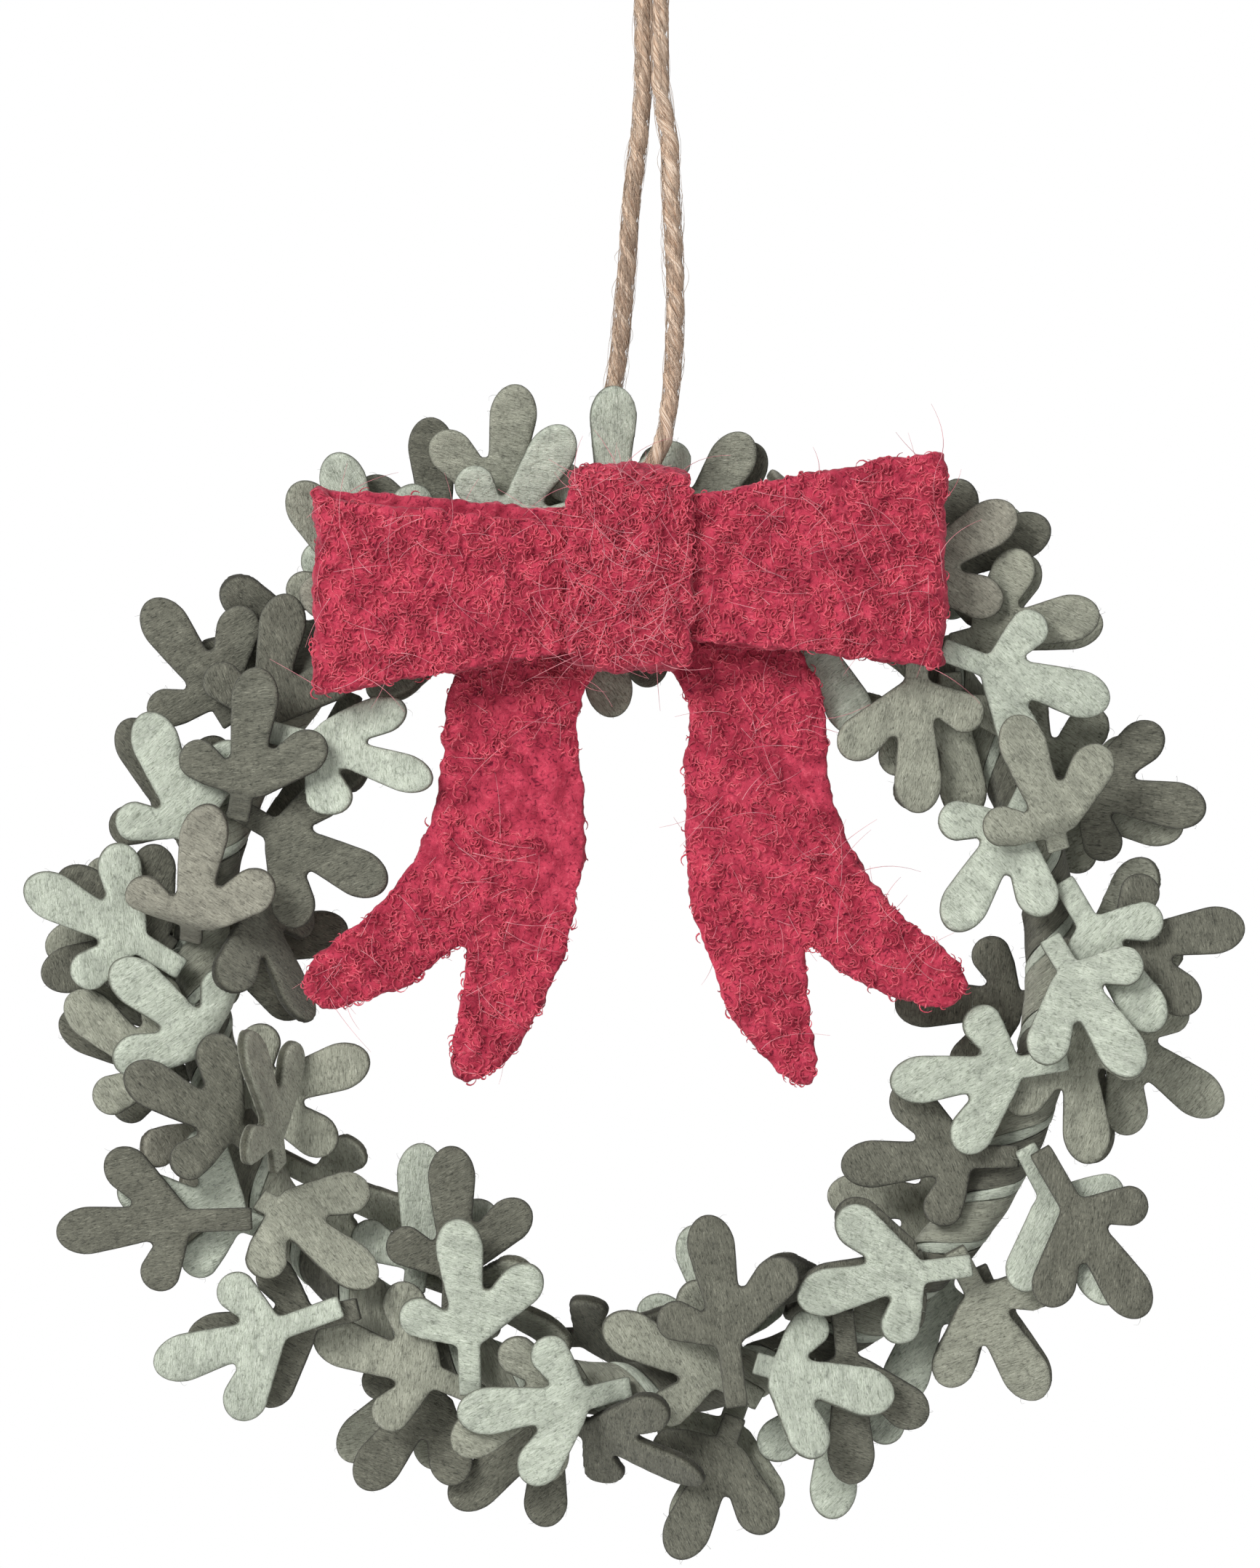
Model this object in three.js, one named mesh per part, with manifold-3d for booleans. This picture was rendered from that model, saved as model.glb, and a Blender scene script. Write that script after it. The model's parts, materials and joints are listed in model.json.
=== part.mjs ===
// A felt mistletoe wreath for a christmas tree: a wire hoop in a rope of twisted felt strips, die-cut
// felt sprigs, a boiled wool bow and a jute cord. X is to the right, Y is away from the viewer and Z is
// up. The origin is the inside top of the cord's eye, where the hook bears. Lengths are in millimetres,
// angles in degrees.
import * as THREE from "three";
import { mergeVertices } from "three/addons/utils/BufferGeometryUtils.js";
import Module from "manifold-3d";

const wasm = await Module();
wasm.setup();

// The hoop and where it hangs
const hoopRadius = 52;
const wireDiameter = 0.8;
const wireSides = 6;
const wireSteps = 72;
const cordDrop = 85.1;
const hangDrop = cordDrop + hoopRadius;
const hangAside = 3;
const clearance = 0.3;
const twistClearance = 0.4;
const cutOverrun = 1;

// The rope: three felt strips laid face to face and twisted round the wire
const ropeRadius = 3.3;
const middleStripThickness = 2;
const wireSlotWidth = 1.3;
const wireSlotFloor = 0.4;
const ropeTurns = 20;
const ropeStepsPerTurn = 8;
const ropeJointClock = 98;
const ropeJointGap = 0.6;

// The die that cuts every sprig: a stem that forks into three lobes
const feltThickness = 1.5;
const feltCurveSteps = 3;
const stemLength = 8.5;
const stemWidth = 2.8;
const stemFlare = 0.9;
const layerGap = 0.35;
const crossingMargin = 0.1;
const settlingStep = 0.01;
const lobes = [
  { length: 10.8, width: 5.8, aim: -54, crotch: 4.5 },
  { length: 13.2, width: 6.4, aim: 4, crotch: 3.7 },
  { length: 8.2, width: 5.0, aim: 78 },
];
// A lobe's widest place along it, and the handle of its side curve, along and across
const lobeWidestShare = 0.74;
const lobeHandleShares = [0.62, 0.9];
// The discs that stand for a sprig where sprigs cross: places along its stem, and along each lobe with
// their radius
const footCornerShare = 1.1;
const stemMiddleShare = 0.5;
const stemDiscShares = [0, 0.25, 0.5, 0.75, 1];
const lobeDiscShares = [[0.33, 0.74], [0.57, 0.9], [0.79, 0.98]];

// The bow
const boiledWool = 1.6;
const bowX = 0.4;
const bowDrop = 4;
const bowEase = 1.3;
const plyGap = 0.4;
const knotWidth = 16.6;
const knotHeight = 24.9;
const knotCorner = 2.6;
const loopReach = 38.2;
const loopPuff = 1.3;
const loopFoldRadius = 1.3;
const loopEndGap = 0.4;
const loopSteps = 8;
const foldSteps = 5;
const knotCornerSteps = 3;
const tailCurveSteps = 3;
const loops = {
  left: { knotLow: -10.2, knotHigh: 7.2, tipLow: -15.5, tipHigh: 9.6 },
  right: { knotLow: -8.8, knotHigh: 8.8, tipLow: -11.9, tipHigh: 14.2 },
};
const tailReach = 39.6;
const tailLength = 62.2;
const tailSag = 1.6;
const tailLift = 1.3;
const rightTailAside = 1.2;
// Where down a tail its sag starts and ends, and from where outwards it lifts
const tailSagShares = [0.2, 0.75];
const tailLiftShare = 0.55;
// The left tail's cut edge from the knot, down its inner side, round both prongs and up its outer side:
// shares of tailReach sideways and of tailLength downwards.
const tailOutlineShares = [
  [[0.025, -0.04], [0.025, 0.12], [0.146, 0.256], [0.139, 0.435], [0.146, 0.587], [0.184, 0.706], [0.26, 0.844]],
  [[0.26, 0.844], [0.394, 0.965], [0.505, 1.0], [0.543, 0.958], [0.523, 0.855], [0.497, 0.741]],
  [[0.52, 0.73], [0.639, 0.791], [0.77, 0.831], [0.922, 0.854], [1.0, 0.809], [0.949, 0.748], [0.846, 0.695]],
  [[0.846, 0.695], [0.715, 0.616], [0.629, 0.52], [0.578, 0.4], [0.548, 0.226], [0.37, 0.06], [0.19, -0.04]],
];

// The glue bead between the rope and the knot band
const glueWidth = 5.6;
const glueHeight = 5.8;
const glueDrop = 4.2;
const glueAside = 4.8;
const glueGrip = 1.6;
const glueSeatSides = 16;
const glueSeatSteps = 96;

// The cord
const cordDiameter = 2;
const cordSides = 8;
const cordKnotDiameter = 6.6;
const cordKnotFlat = 4.6;
const cordKnotHeight = 6;
const cordKnotWraps = 3;
const cordKnotGroove = 0.5;
const cordKnotSides = 12;
// Where up a wrap of the knot its round side starts and ends
const cordWrapShares = [0.3, 0.7];
const cordKnotLevel = -15.2;
const cordLegSteps = 56;
const cordEyeSteps = 18;
// Routes of the cord's two legs above the rope, down and up again: places sideways and backwards, with
// how far up from the rope to the knot they are, as a share
const leftLegRoute = [
  [2.0, 0.75, 1], [1.8, 0.8, 0.8], [1.4, 1.2, 0.722], [0.6, 1.6, 0.62], [0.1, 2.0, 0.518], [-0.4, 2.4, 0.428],
  [-1.1, 2.9, 0.321], [-2.2, 3.5, 0.233], [-2.9, 4.1, 0.135],
];
const rightLegRoute = [
  [2.5, -4.2, 0.113], [4.3, -3.8, 0.173], [5.3, -3.3, 0.255], [5.8, -2.8, 0.356], [5.9, -2.3, 0.458],
  [5.8, -2.0, 0.518], [5.4, -1.6, 0.62], [5.2, -1.2, 0.722], [4.6, -0.8, 0.811], [4.0, -0.75, 1],
];
// The sling round the rope: places sideways, with shares of the sling's radius backwards and upwards
const slingEase = 0.4;
const slingRoute = [
  [-3.1, 1, 0.43], [-2.8, 0.96, -0.3], [-2, 0.66, -0.745], [-1, 0, -0.98],
  [0, -0.66, -0.745], [0.8, -0.96, -0.3], [1.3, -1, 0.43],
];
// Route of the eye above the knot, from the hang point
const eyeRoute = [
  [-1.3, 0, -11.9], [-1.4, 0, -10.7], [-3.1, 0, -8.2], [-4.6, 0, -5.2], [-4.5, 0, -2], [-2.8, 0, 0.3],
  [0, 0, 1.1],
  [2.8, 0, 0.3], [4.5, 0, -2], [4.6, 0, -5.2], [3.1, 0, -8.2], [1.4, 0, -10.7], [1.3, 0, -11.9],
];

// The sling clears the rope, the legs end under the knot, and the bow's tails clear the sling
const slingRadius = ropeRadius + cordDiameter / 2 + slingEase;
const legRise = cordDrop + cordKnotLevel - cordKnotHeight / 2 - clearance;
const cordRoute = [
  ...leftLegRoute.map(([x, back, up]) => [x, back, up * legRise]),
  ...slingRoute.map(([x, back, up]) => [x, back * slingRadius, up * slingRadius]),
  ...rightLegRoute.map(([x, back, up]) => [x, back, up * legRise]),
].map(([x, y, z]) => [x, y, z + hoopRadius]);
const bowStandoff = slingRadius + cordDiameter / 2 + bowEase;

const shades = { mint: 0xc4cfbe, sage: 0x8f9282, olive: 0x6c6c60 };

// Each sprig as it is laid, the lowest first. Clock is the stem's place round the hoop, anticlockwise
// from the right, and heading is where it points in the front view. acrossShare is its offset from the
// rope's middle line, outwards, as a share of the rope's radius. raise lifts it towards the viewer and
// roll turns it about its own stem.
const sprigs = [
  { shade: "olive", lay: "back", clock: 265, acrossShare: 0.3, heading: 221, raise: -5 },
  { shade: "mint", lay: "back", clock: 300, acrossShare: 0.6, heading: 262, over: true, raise: -12 },
  { shade: "mint", lay: "back", clock: 125, acrossShare: -0.2, heading: 105, over: true, raise: -8 },
  { shade: "olive", lay: "back", clock: 116, acrossShare: -0.4, heading: 98 },
  { shade: "mint", lay: "back", clock: 57.5, acrossShare: 0.6, heading: 28, raise: -8 },
  { shade: "sage", lay: "back", clock: 83.3, acrossShare: -0.5, heading: 62, stemShare: 0.5 },
  { shade: "olive", lay: "back", clock: 179, acrossShare: 0, heading: 8, over: true, stemShare: 0.6, raise: -6 },
  { shade: "mint", lay: "back", clock: 285.5, acrossShare: -0.2, heading: 112, stemShare: 0.6 },
  { shade: "olive", lay: "back", clock: 355, acrossShare: -0.2, heading: 185, stemShare: 0.6, raise: 6 },
  { shade: "sage", lay: "back", clock: 246, acrossShare: -0.5, heading: 228, stemShare: 0.9 },
  { shade: "sage", lay: "back", clock: 284.6, acrossShare: 0.9, heading: 250, stemShare: 0.65, raise: -8 },
  { shade: "sage", lay: "back", clock: 23.6, acrossShare: -0.1, heading: 351, raise: -12 },
  { shade: "sage", lay: "back", clock: 326, acrossShare: 0.2, heading: 180, stemShare: 0.7, raise: 6 },
  { shade: "sage", lay: "back", clock: 46, acrossShare: 0.4, heading: 12, raise: -5 },
  { shade: "sage", lay: "rim", clock: 95.5, acrossShare: -1, heading: 277, stemShare: 0.6 },
  { shade: "mint", lay: "rim", clock: 92, acrossShare: 1, heading: 85, stemShare: 0.2, depthShare: -0.2, roll: 12 },
  { shade: "mint", lay: "rim", clock: 237, acrossShare: -1, heading: 84, stemShare: 0.6 },
  { shade: "sage", lay: "rim", clock: 106, acrossShare: 1, heading: 86, over: true, stemShare: 0.45 },
  { shade: "olive", lay: "rim", clock: 148.5, acrossShare: 1, heading: 122, stemShare: 0.6, depthShare: -0.5 },
  { shade: "sage", lay: "rim", clock: 175, acrossShare: 1, heading: 188, stemShare: 0.3, depthShare: 0.4 },
  { shade: "sage", lay: "rim", clock: 354.6, acrossShare: 1, heading: 320, stemShare: 0.9, depthShare: 0.5 },
  { shade: "olive", lay: "front", clock: 152.4, acrossShare: -0.1, heading: 75 },
  { shade: "olive", lay: "front", clock: 334, acrossShare: 0.3, heading: 181, raise: -5 },
  { shade: "olive", lay: "front", clock: 158, acrossShare: 0, heading: 330, raise: 8 },
  { shade: "olive", lay: "front", clock: 302, acrossShare: -0.8, heading: 276, over: true, raise: -8 },
  { shade: "sage", lay: "front", clock: 199, acrossShare: 0.8, heading: 137, raise: -6 },
  { shade: "sage", lay: "front", clock: 251.4, acrossShare: 1, heading: 157, raise: -5 },
  { shade: "olive", lay: "front", clock: 232, acrossShare: 0.2, heading: 194, over: true, raise: -8 },
  { shade: "sage", lay: "front", clock: 319, acrossShare: 0.2, heading: 298, raise: -10 },
  { shade: "sage", lay: "front", clock: 199, acrossShare: -0.2, heading: 15, stemShare: 0.6, raise: 8 },
  { shade: "sage", lay: "front", clock: 287, acrossShare: 1, heading: 150, raise: 12 },
  { shade: "sage", lay: "front", clock: 42.2, acrossShare: 0.3, heading: 274, stemShare: 0.6, raise: -5 },
  { shade: "sage", lay: "front", clock: 357.3, acrossShare: 0.8, heading: 272 },
  { shade: "mint", lay: "front", clock: 348, acrossShare: 0.8, heading: 190, over: true, raise: 10 },
  { shade: "mint", lay: "front", clock: 335.5, acrossShare: 0.3, heading: 298, raise: 10 },
  { shade: "mint", lay: "front", clock: 10.9, acrossShare: 0.6, heading: 300, raise: 8 },
  { shade: "mint", lay: "front", clock: 168.5, acrossShare: 0.1, heading: 107, raise: 8 },
  { shade: "mint", lay: "front", clock: 250, acrossShare: 1, heading: 92, raise: 12 },
  { shade: "mint", lay: "front", clock: 147, acrossShare: 0.1, heading: 345, over: true, spreadShare: 0.8, raise: 12 },
  { shade: "mint", lay: "front", clock: 24.8, acrossShare: 0.8, heading: 243, over: true, raise: 10 },
  { shade: "mint", lay: "front", clock: 180.5, acrossShare: 0.6, heading: 148, raise: 12 },
  { shade: "mint", lay: "front", clock: 68.6, acrossShare: -0.4, heading: 296 },
  { shade: "mint", lay: "front", clock: 270.6, acrossShare: -0.2, heading: 190, over: true, raise: 5 },
  { shade: "mint", lay: "front", clock: 218.6, acrossShare: 0.2, heading: 161, raise: 10 },
  { shade: "mint", lay: "front", clock: 319, acrossShare: 1, heading: 188, raise: 10 },
  { shade: "mint", lay: "front", clock: 45.2, acrossShare: 0.6, heading: 340, raise: -4 },
  { shade: "mint", lay: "front", clock: 112, acrossShare: -0.3, heading: 54 },
];

const radians = THREE.MathUtils.degToRad;

function material(color, roughness, metalness) {
  return new THREE.MeshStandardMaterial({ color, roughness, metalness });
}
const felt = {};
for (const [name, color] of Object.entries(shades)) felt[name] = material(color, 0.95, 0);
const wool = material(0xb82c46, 1, 0);
const jute = material(0xbd9a6c, 0.9, 0);
const steel = material(0x8c8f92, 0.45, 0.9);
const hotGlue = material(0xd8d0bc, 0.4, 0);

function named(name, geometry, finish) {
  geometry.computeVertexNormals();
  const mesh = new THREE.Mesh(geometry, finish);
  mesh.name = name;
  return mesh;
}

// Skins a closed body over a row of rings with as many corners each, and closes both ends. Each
// four-sided patch is split along its shorter diagonal, so that strips that lie face to face stay apart
// as they twist.
function skin(rings, section) {
  const corners = section.length;
  const points = rings.flat();
  const faces = [];
  for (let ring = 0; ring + 1 < rings.length; ring++)
    for (let corner = 0; corner < corners; corner++) {
      const [a, b] = [ring * corners + corner, ring * corners + ((corner + 1) % corners)];
      const [c, d] = [b + corners, a + corners];
      if (points[a].distanceTo(points[c]) < points[b].distanceTo(points[d])) faces.push(a, b, c, a, c, d);
      else faces.push(a, b, d, b, c, d);
    }
  const last = (rings.length - 1) * corners;
  for (const [a, b, c] of THREE.ShapeUtils.triangulateShape(section, []))
    faces.push(a, c, b, last + a, last + b, last + c);
  const geometry = new THREE.BufferGeometry().setFromPoints(points);
  geometry.setIndex(faces);
  return geometry;
}

// A point of the rope's cross-section, out from the hoop's centre and back from the viewer
function onHoop(clock, out, back) {
  const radius = hoopRadius + out;
  return new THREE.Vector3(radius * Math.cos(radians(clock)), back, radius * Math.sin(radians(clock)));
}

// One strip of the rope: its section turns about the hoop's wire as it goes round
function ropeStrip(section) {
  const steps = ropeTurns * ropeStepsPerTurn;
  const jointHalf = THREE.MathUtils.radToDeg(ropeJointGap / 2 / hoopRadius);
  const sweep = 360 - 2 * jointHalf;
  const middleLine = new THREE.Vector2();
  const rings = [];
  for (let step = 0; step <= steps; step++) {
    const clock = ropeJointClock + jointHalf + (sweep * step) / steps;
    const twist = (2 * Math.PI * ropeTurns * step) / steps;
    rings.push(
      section.map((p) => {
        const turned = p.clone().rotateAround(middleLine, twist);
        return onHoop(clock, turned.x, turned.y);
      }),
    );
  }
  return skin(rings, section);
}

// Each outer strip is pressed round: a flat face inwards and an arc outwards
function outerStripSection(side) {
  const face = middleStripThickness / 2 + twistClearance;
  const half = Math.acos(face / ropeRadius);
  const section = [];
  for (const share of [-1, -1 / 3, 1 / 3, 1]) {
    const angle = share * half + (side < 0 ? Math.PI : 0);
    section.push(new THREE.Vector2(-ropeRadius * Math.sin(angle), ropeRadius * Math.cos(angle)));
  }
  return section;
}

// The middle strip has a slot along it for the wire
function middleStripSection() {
  const half = middleStripThickness / 2;
  const edge = Math.sqrt(ropeRadius ** 2 - half ** 2);
  const slot = wireSlotWidth / 2;
  const floor = -half + wireSlotFloor;
  const corners = [[-edge, -half], [edge, -half], [edge, half], [slot, half], [slot, floor], [-slot, floor]];
  corners.push([-slot, half], [-edge, half]);
  return corners.map(([x, y]) => new THREE.Vector2(x, y));
}

function hoopWire() {
  return new THREE.TorusGeometry(hoopRadius, wireDiameter / 2, wireSides, wireSteps).rotateX(Math.PI / 2);
}

// The outline of one sprig, from its foot at the origin along X
function sprigOutline(stem, spread) {
  const shape = new THREE.Shape();
  const half = stemWidth / 2;
  const root = stem - stemFlare;
  shape.moveTo(0, -half);
  shape.lineTo(root / 3, -half);
  shape.lineTo((root * 2) / 3, -half);
  shape.lineTo(root, -half);
  lobes.forEach((lobe, index) => {
    const aim = radians(lobe.aim * spread);
    const place = (along, across) => [
      stem + along * Math.cos(aim) - across * Math.sin(aim),
      along * Math.sin(aim) + across * Math.cos(aim),
    ];
    const widest = lobe.length * lobeWidestShare;
    const [handleAlong, handleAcross] = lobeHandleShares;
    const handle = (side) => place(widest * handleAlong, (side * handleAcross * lobe.width) / 2);
    const next = lobes[index + 1];
    const crotch = next ? radians(((lobe.aim + next.aim) / 2) * spread) : 0;
    const end = next
      ? [stem + lobe.crotch * Math.cos(crotch), lobe.crotch * Math.sin(crotch)]
      : [root, half];
    shape.quadraticCurveTo(...handle(-1), ...place(widest, -lobe.width / 2));
    const tip = lobe.length - widest;
    shape.absellipse(...place(widest, 0), tip, lobe.width / 2, -Math.PI / 2, Math.PI / 2, false, aim);
    shape.quadraticCurveTo(...handle(1), ...end);
  });
  shape.lineTo((root * 2) / 3, half);
  shape.lineTo(root / 3, half);
  shape.lineTo(0, half);
  return shape;
}

// Discs that cover a sprig as it shows from the front, from its foot to its lobes' ends. Each keeps how
// far it lies from the foot, and what share of the stem is below it.
function footprint(sprig) {
  const place = (x, z, angle, far) => ({
    x: x + far * Math.cos(radians(angle)),
    z: z + far * Math.sin(radians(angle)),
  });
  const discs = stemDiscShares.map((share) => ({
    ...place(sprig.foot.x, sprig.foot.z, sprig.heading, sprig.stem * share),
    radius: (stemWidth / 2) * footCornerShare,
    share,
    far: sprig.stem * share,
  }));
  const fork = discs[discs.length - 1];
  for (const lobe of lobes)
    for (const [alongShare, radiusShare] of lobeDiscShares) {
      const turn = lobe.aim * sprig.spreadShare;
      const aim = sprig.heading + (sprig.over ? -turn : turn);
      const disc = place(fork.x, fork.z, aim, lobe.length * alongShare);
      const far = sprig.stem + lobe.length * alongShare * Math.cos(radians(turn));
      discs.push({ ...disc, radius: (lobe.width / 2) * radiusShare, share: 1, far });
    }
  return discs;
}

// Hands a closed geometry over for cutting, and takes the result back
function solidOf(geometry) {
  const bare = geometry.clone().deleteAttribute("normal").deleteAttribute("uv");
  const merged = mergeVertices(bare);
  const vertProperties = merged.getAttribute("position").array;
  const triVerts = new Uint32Array(merged.index.array);
  return new wasm.Manifold(new wasm.Mesh({ numProp: 3, vertProperties, triVerts }));
}
function geometryOf(solid) {
  const { vertProperties, triVerts } = solid.getMesh();
  const geometry = new THREE.BufferGeometry();
  geometry.setAttribute("position", new THREE.BufferAttribute(vertProperties, 3));
  return geometry.setIndex(new THREE.BufferAttribute(triVerts, 1));
}

// The least and the most that a sprig stands off the rope within one of its discs
function standOff(sprig, disc) {
  const rise = sprig.bladeHeight - sprig.footHeight;
  const reach = disc.radius / sprig.stem;
  const heights = [-1, 1].map(
    (sign) =>
      sprig.footHeight +
      rise * THREE.MathUtils.smoothstep(disc.share + sign * reach, 0, 1) +
      (disc.far + sign * disc.radius) * Math.sin(radians(sprig.raise)),
  );
  return [Math.min(...heights), Math.max(...heights)];
}

// How far below its front the rope's round lies, where a disc comes nearest to the rope's middle line
function ropeLevel(disc) {
  const aside = Math.abs(Math.hypot(disc.x, disc.z) - hoopRadius) - disc.radius;
  return Math.sqrt(Math.max(0, ropeRadius ** 2 - Math.max(0, aside) ** 2)) - ropeRadius;
}

// Lifts a sprig's foot and its lobes until it clears the rope and the sprigs that were laid before it
function settle(sprig, under) {
  const crossings = [];
  for (const disc of sprig.discs) if (ropeLevel(disc) > -ropeRadius) crossings.push([disc, ropeLevel(disc)]);
  for (const other of under)
    for (const disc of sprig.discs)
      for (const below of other.discs)
        if (Math.hypot(disc.x - below.x, disc.z - below.z) < disc.radius + below.radius + crossingMargin)
          crossings.push([disc, standOff(other, below)[1] + feltThickness + layerGap]);
  const lift = () => {
    let settled = true;
    for (const [disc, level] of crossings) {
      const short = level - standOff(sprig, disc)[0];
      if (short <= settlingStep) continue;
      settled = false;
      if (disc.share <= stemMiddleShare) sprig.footHeight += short;
      if (disc.share >= stemMiddleShare) sprig.bladeHeight += short;
    }
    return settled;
  };
  while (!lift());
}

// Works out each sprig's foot, and how high its foot and its lobes lie on what was laid before it
function layOut(rows) {
  const laid = [];
  for (const row of rows) {
    const sprig = { over: false, roll: 0, raise: 0, depthShare: 0, spreadShare: 1, ...row };
    sprig.footHeight = 0;
    sprig.bladeHeight = 0;
    sprig.stem = stemLength * (row.stemShare ?? 1);
    const slant = Math.abs(Math.sin(radians(row.heading - row.clock)));
    const rimOut = Math.sign(row.acrossShare) * (ropeRadius + clearance + (slant * stemWidth) / 2);
    sprig.foot = onHoop(row.clock, row.lay === "rim" ? rimOut : row.acrossShare * ropeRadius, 0);
    sprig.discs = footprint(sprig);
    if (row.lay !== "rim") settle(sprig, laid.filter((other) => other.lay === row.lay));
    laid.push(sprig);
  }
  return laid;
}

function sprigMesh(sprig, name) {
  const geometry = new THREE.ExtrudeGeometry(sprigOutline(sprig.stem, sprig.spreadShare), {
    depth: feltThickness,
    bevelEnabled: false,
    curveSegments: feltCurveSteps,
  });
  const climb = sprig.bladeHeight - sprig.footHeight;
  const turned = sprig.over !== (sprig.lay === "back");
  const at = geometry.getAttribute("position");
  for (let i = 0; i < at.count; i++) {
    const lift = climb * THREE.MathUtils.smoothstep(at.getX(i), 0, sprig.stem);
    at.setZ(i, at.getZ(i) - feltThickness / 2 + (sprig.over ? -lift : lift));
  }
  geometry.rotateX(Math.PI / 2);
  const mesh = named(name, geometry, felt[sprig.shade]);
  const side = sprig.lay === "back" ? 1 : -1;
  const depth = side * (ropeRadius + clearance + feltThickness / 2 + sprig.footHeight);
  mesh.position.copy(sprig.foot).setY(sprig.lay === "rim" ? sprig.depthShare * ropeRadius : depth);
  mesh.rotation.set(
    radians(sprig.roll + (turned ? 180 : 0)),
    radians(-sprig.heading),
    radians(side * sprig.raise),
    "YZX",
  );
  return mesh;
}

// A bow loop: a ribbon that runs out from the knot, folds and runs back, higher at its end than at the knot
function bowLoop(size, side) {
  const plyHalf = (boiledWool + plyGap) / 2;
  const start = loopEndGap;
  const straight = loopReach - loopFoldRadius - boiledWool / 2;
  const path = [];
  const gapAt = (x) => {
    const share = THREE.MathUtils.clamp((x - knotWidth / 2) / (straight - knotWidth / 2), 0, 1);
    return plyHalf + share * (loopFoldRadius - plyHalf) + loopPuff * Math.sin(Math.PI * share) ** 2;
  };
  const stations = [start];
  for (let step = 0; step <= loopSteps; step++)
    stations.push(THREE.MathUtils.lerp(knotWidth / 2, straight, step / loopSteps));
  for (const x of stations) path.push([x, gapAt(x)]);
  for (let step = 1; step < foldSteps; step++) {
    const angle = Math.PI / 2 - (Math.PI * step) / foldSteps;
    path.push([straight + loopFoldRadius * Math.cos(angle), loopFoldRadius * Math.sin(angle)]);
  }
  for (const x of stations.reverse()) path.push([x, -gapAt(x)]);
  const plan = path.map(([x, y]) => new THREE.Vector2(x, y));
  const rings = plan.map((p, index) => {
    const before = plan[Math.max(index - 1, 0)];
    const after = plan[Math.min(index + 1, plan.length - 1)];
    const along = after.clone().sub(before).normalize();
    const across = new THREE.Vector2(-along.y, along.x).multiplyScalar(boiledWool / 2);
    const share = Math.min(1, Math.max(0, (p.x - knotWidth / 2) / (loopReach - knotWidth / 2)));
    const low = THREE.MathUtils.lerp(size.knotLow, size.tipLow, share);
    const high = THREE.MathUtils.lerp(size.knotHigh, size.tipHigh, share);
    const corner = (sign, z) => {
      const q = p.clone().addScaledVector(across, sign);
      return new THREE.Vector3(side * q.x, q.y, z);
    };
    const ring = [corner(-1, low), corner(1, low), corner(1, high), corner(-1, high)];
    return side < 0 ? ring.reverse() : ring;
  });
  const square = [[-1, -1], [1, -1], [1, 1], [-1, 1]].map(([x, y]) => new THREE.Vector2(x, y));
  return skin(rings, square);
}

// The knot band, a closed strip round the middle of the bow
function knotBand(depth) {
  const rounded = (path, width, height, corner) => {
    const [x, y] = [width / 2, height / 2];
    path.moveTo(-x + corner, -y).lineTo(x - corner, -y);
    path.quadraticCurveTo(x, -y, x, -y + corner).lineTo(x, y - corner);
    path.quadraticCurveTo(x, y, x - corner, y).lineTo(-x + corner, y);
    path.quadraticCurveTo(-x, y, -x, y - corner).lineTo(-x, -y + corner);
    path.quadraticCurveTo(-x, -y, -x + corner, -y);
    return path;
  };
  const shape = rounded(new THREE.Shape(), knotHeight, depth, knotCorner);
  const wall = 2 * boiledWool;
  const hole = rounded(new THREE.Path(), knotHeight - wall, depth - wall, knotCorner - boiledWool);
  shape.holes.push(hole);
  const options = { depth: knotWidth, bevelEnabled: false, curveSegments: knotCornerSteps };
  return new THREE.ExtrudeGeometry(shape, options).translate(0, 0, -knotWidth / 2).rotateY(Math.PI / 2);
}

// A bow tail, cut flat, then hung so that it sags back in the middle and lifts over the leaves at its
// prongs
function bowTail(side) {
  const shape = new THREE.Shape();
  tailOutlineShares.forEach((run, index) => {
    const points = run.map(([x, z]) => new THREE.Vector2(side * x * tailReach, -z * tailLength));
    if (index === 0) shape.moveTo(points[0].x, points[0].y);
    else shape.lineTo(points[0].x, points[0].y);
    shape.splineThru(points.slice(1));
  });
  const [sagStart, sagEnd] = tailSagShares;
  const options = { depth: boiledWool, bevelEnabled: false, curveSegments: tailCurveSteps };
  const geometry = new THREE.ExtrudeGeometry(shape, options);
  const at = geometry.getAttribute("position");
  for (let i = 0; i < at.count; i++) {
    const down = THREE.MathUtils.clamp(-at.getY(i) / tailLength, 0, 1);
    const out = Math.abs(at.getX(i)) / tailReach;
    const sagged = THREE.MathUtils.clamp((down - sagStart) / (sagEnd - sagStart), 0, 1);
    const back = tailSag * Math.sin(Math.PI * sagged) ** 2;
    const lift = tailLift * THREE.MathUtils.smoothstep(out, tailLiftShare, 1);
    at.setZ(i, at.getZ(i) - boiledWool / 2 + lift - back);
  }
  return geometry.rotateX(Math.PI / 2);
}

function cord(route, steps) {
  const curve = new THREE.CatmullRomCurve3(route.map((p) => new THREE.Vector3(...p)));
  const section = new THREE.Shape();
  for (let side = 0; side < cordSides; side++) {
    const angle = (2 * Math.PI * side) / cordSides;
    const [x, y] = [(cordDiameter / 2) * Math.cos(angle), (cordDiameter / 2) * Math.sin(angle)];
    if (side === 0) section.moveTo(x, y);
    else section.lineTo(x, y);
  }
  return new THREE.ExtrudeGeometry(section, { steps, bevelEnabled: false, extrudePath: curve });
}

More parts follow.
